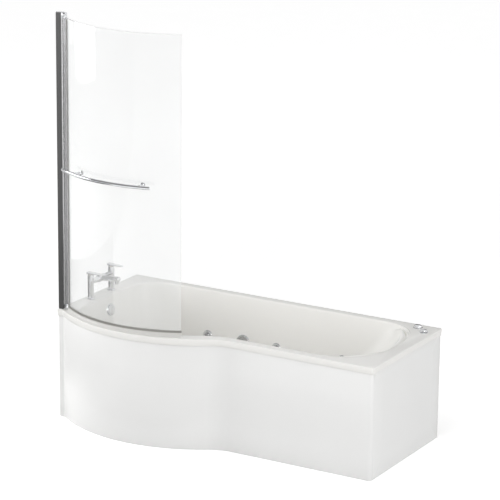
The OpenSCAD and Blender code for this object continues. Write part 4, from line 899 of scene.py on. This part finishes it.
# Moulded plastics below the bath: white polypropylene waste, grey overflow hose, black cable
white_plastic = mottled("white_moulded_plastic", "#E4E4E1", "#DADAD6", 5, 0.3, 0.42, 0.1)
grey_plastic = mottled("grey_moulded_plastic", "#8D8F91", "#7F8183", 4, 0.4, 0.55, 0.2)
coat(white_plastic, "bath_trap")
coat(grey_plastic, "waste_body", "overflow_body", "overflow_pipe")
coat(black_plastic, "popup_cable", "control_tube")

# -------------------------------------------------- water jets and suction
# Six chrome eyeball jets and one suction cover in the well walls, each with a plastic body
# behind the wall that the pipes plug into.
jet_ring = [(12.9, -1), (12.9, 0.2), (13.4, 2.2), (15, 3.9), (17, 5.1), (19.5, 5.4), (22.4, 4.9), (24.2, 3.6),
            (25, 1.8), (25, 0.6), (24.8, 0.4), (17.4, 0.4), (17.4, -1), (12.9, -1)]
chromed("jet_rings", [turned(jet_ring, axes) for axes in jets], "bath", "jet_flanges")
bore_r, ball_r, ball_z = 4.5, 11.8, -2  # the eyeball is a ball with a bore and a short snout
ball = [(max(ball_r * math.sin(k), bore_r), ball_z + ball_r * math.cos(k))
        for k in np.radians(np.linspace(180, 52, 18))]
eye = [(bore_r, -12.9), *ball, (7.9, 6.4), (7.5, 8.2), (7.1, 9.6), (6.4, 10), (5.2, 10), (bore_r, 9.4),
       (bore_r, -12.9)]
for i, axes in enumerate(jets, 1):
    chromed(f"jet_eye_{i}", [turned(eye, axes, 48)], f"jet_nozzle_{i}", f"jet_nozzle_{i}")
coat(chrome, "suction_cover")
coat(white_plastic, "jet_bodies", "suction_body", "suction_pipe", "water_pipes")
coat(grey_plastic, "air_pipes")

# -------------------------------------------------- controls
# On the head end's deck: a fluted air control that turns, and a domed pneumatic button that
# starts the pump. Both stand in bodies under the rim.
knob_on, button_on = controls
knob = [(5, 2.5), (18.5, 2.5), (19, 3), (19, 8.8), (18.4, 10.8), (17, 11.5), (14, 11.9), (10, 12.3), (6, 12.45),
        (0, 12.5)]
chromed("air_knob_fluted", [fluted(knob, 0.06, 16, 3.2, knob_on), turned(rod(5, -27.5, 3), knob_on, 32)],
        "air_knob", "air_knob")
button = [(0, 6.5), (17.6, 6.5), (18, 7), (18, 8.6), (17.4, 10.3), (16.2, 11.3), *arc((0, -24.5), 38, 66, 90, 7)]
chromed("pump_button_domed", [turned(button, button_on, 64), turned(rod(5, -23.5, 7), button_on, 32)],
        "pump_button", "pump_button")
coat(chrome, "control_bodies")

# -------------------------------------------------- pump
# The pump stands on the floor under the head end: a black volute, a ribbed blue-grey motor
# with a terminal box, and a rubber-footed base. Its motor has thick blue-grey enamel.
enamel = mottled("motor_enamel", "#5B6675", "#525D6B", 6, 0.3, 0.42, 0.15)
coat(enamel, "pump_motor")
coat(black_plastic, "pump_casing", "pump_base", "foot_pads")
coat(grey_plastic, "pump_impeller")

bpy.context.view_layer.update()
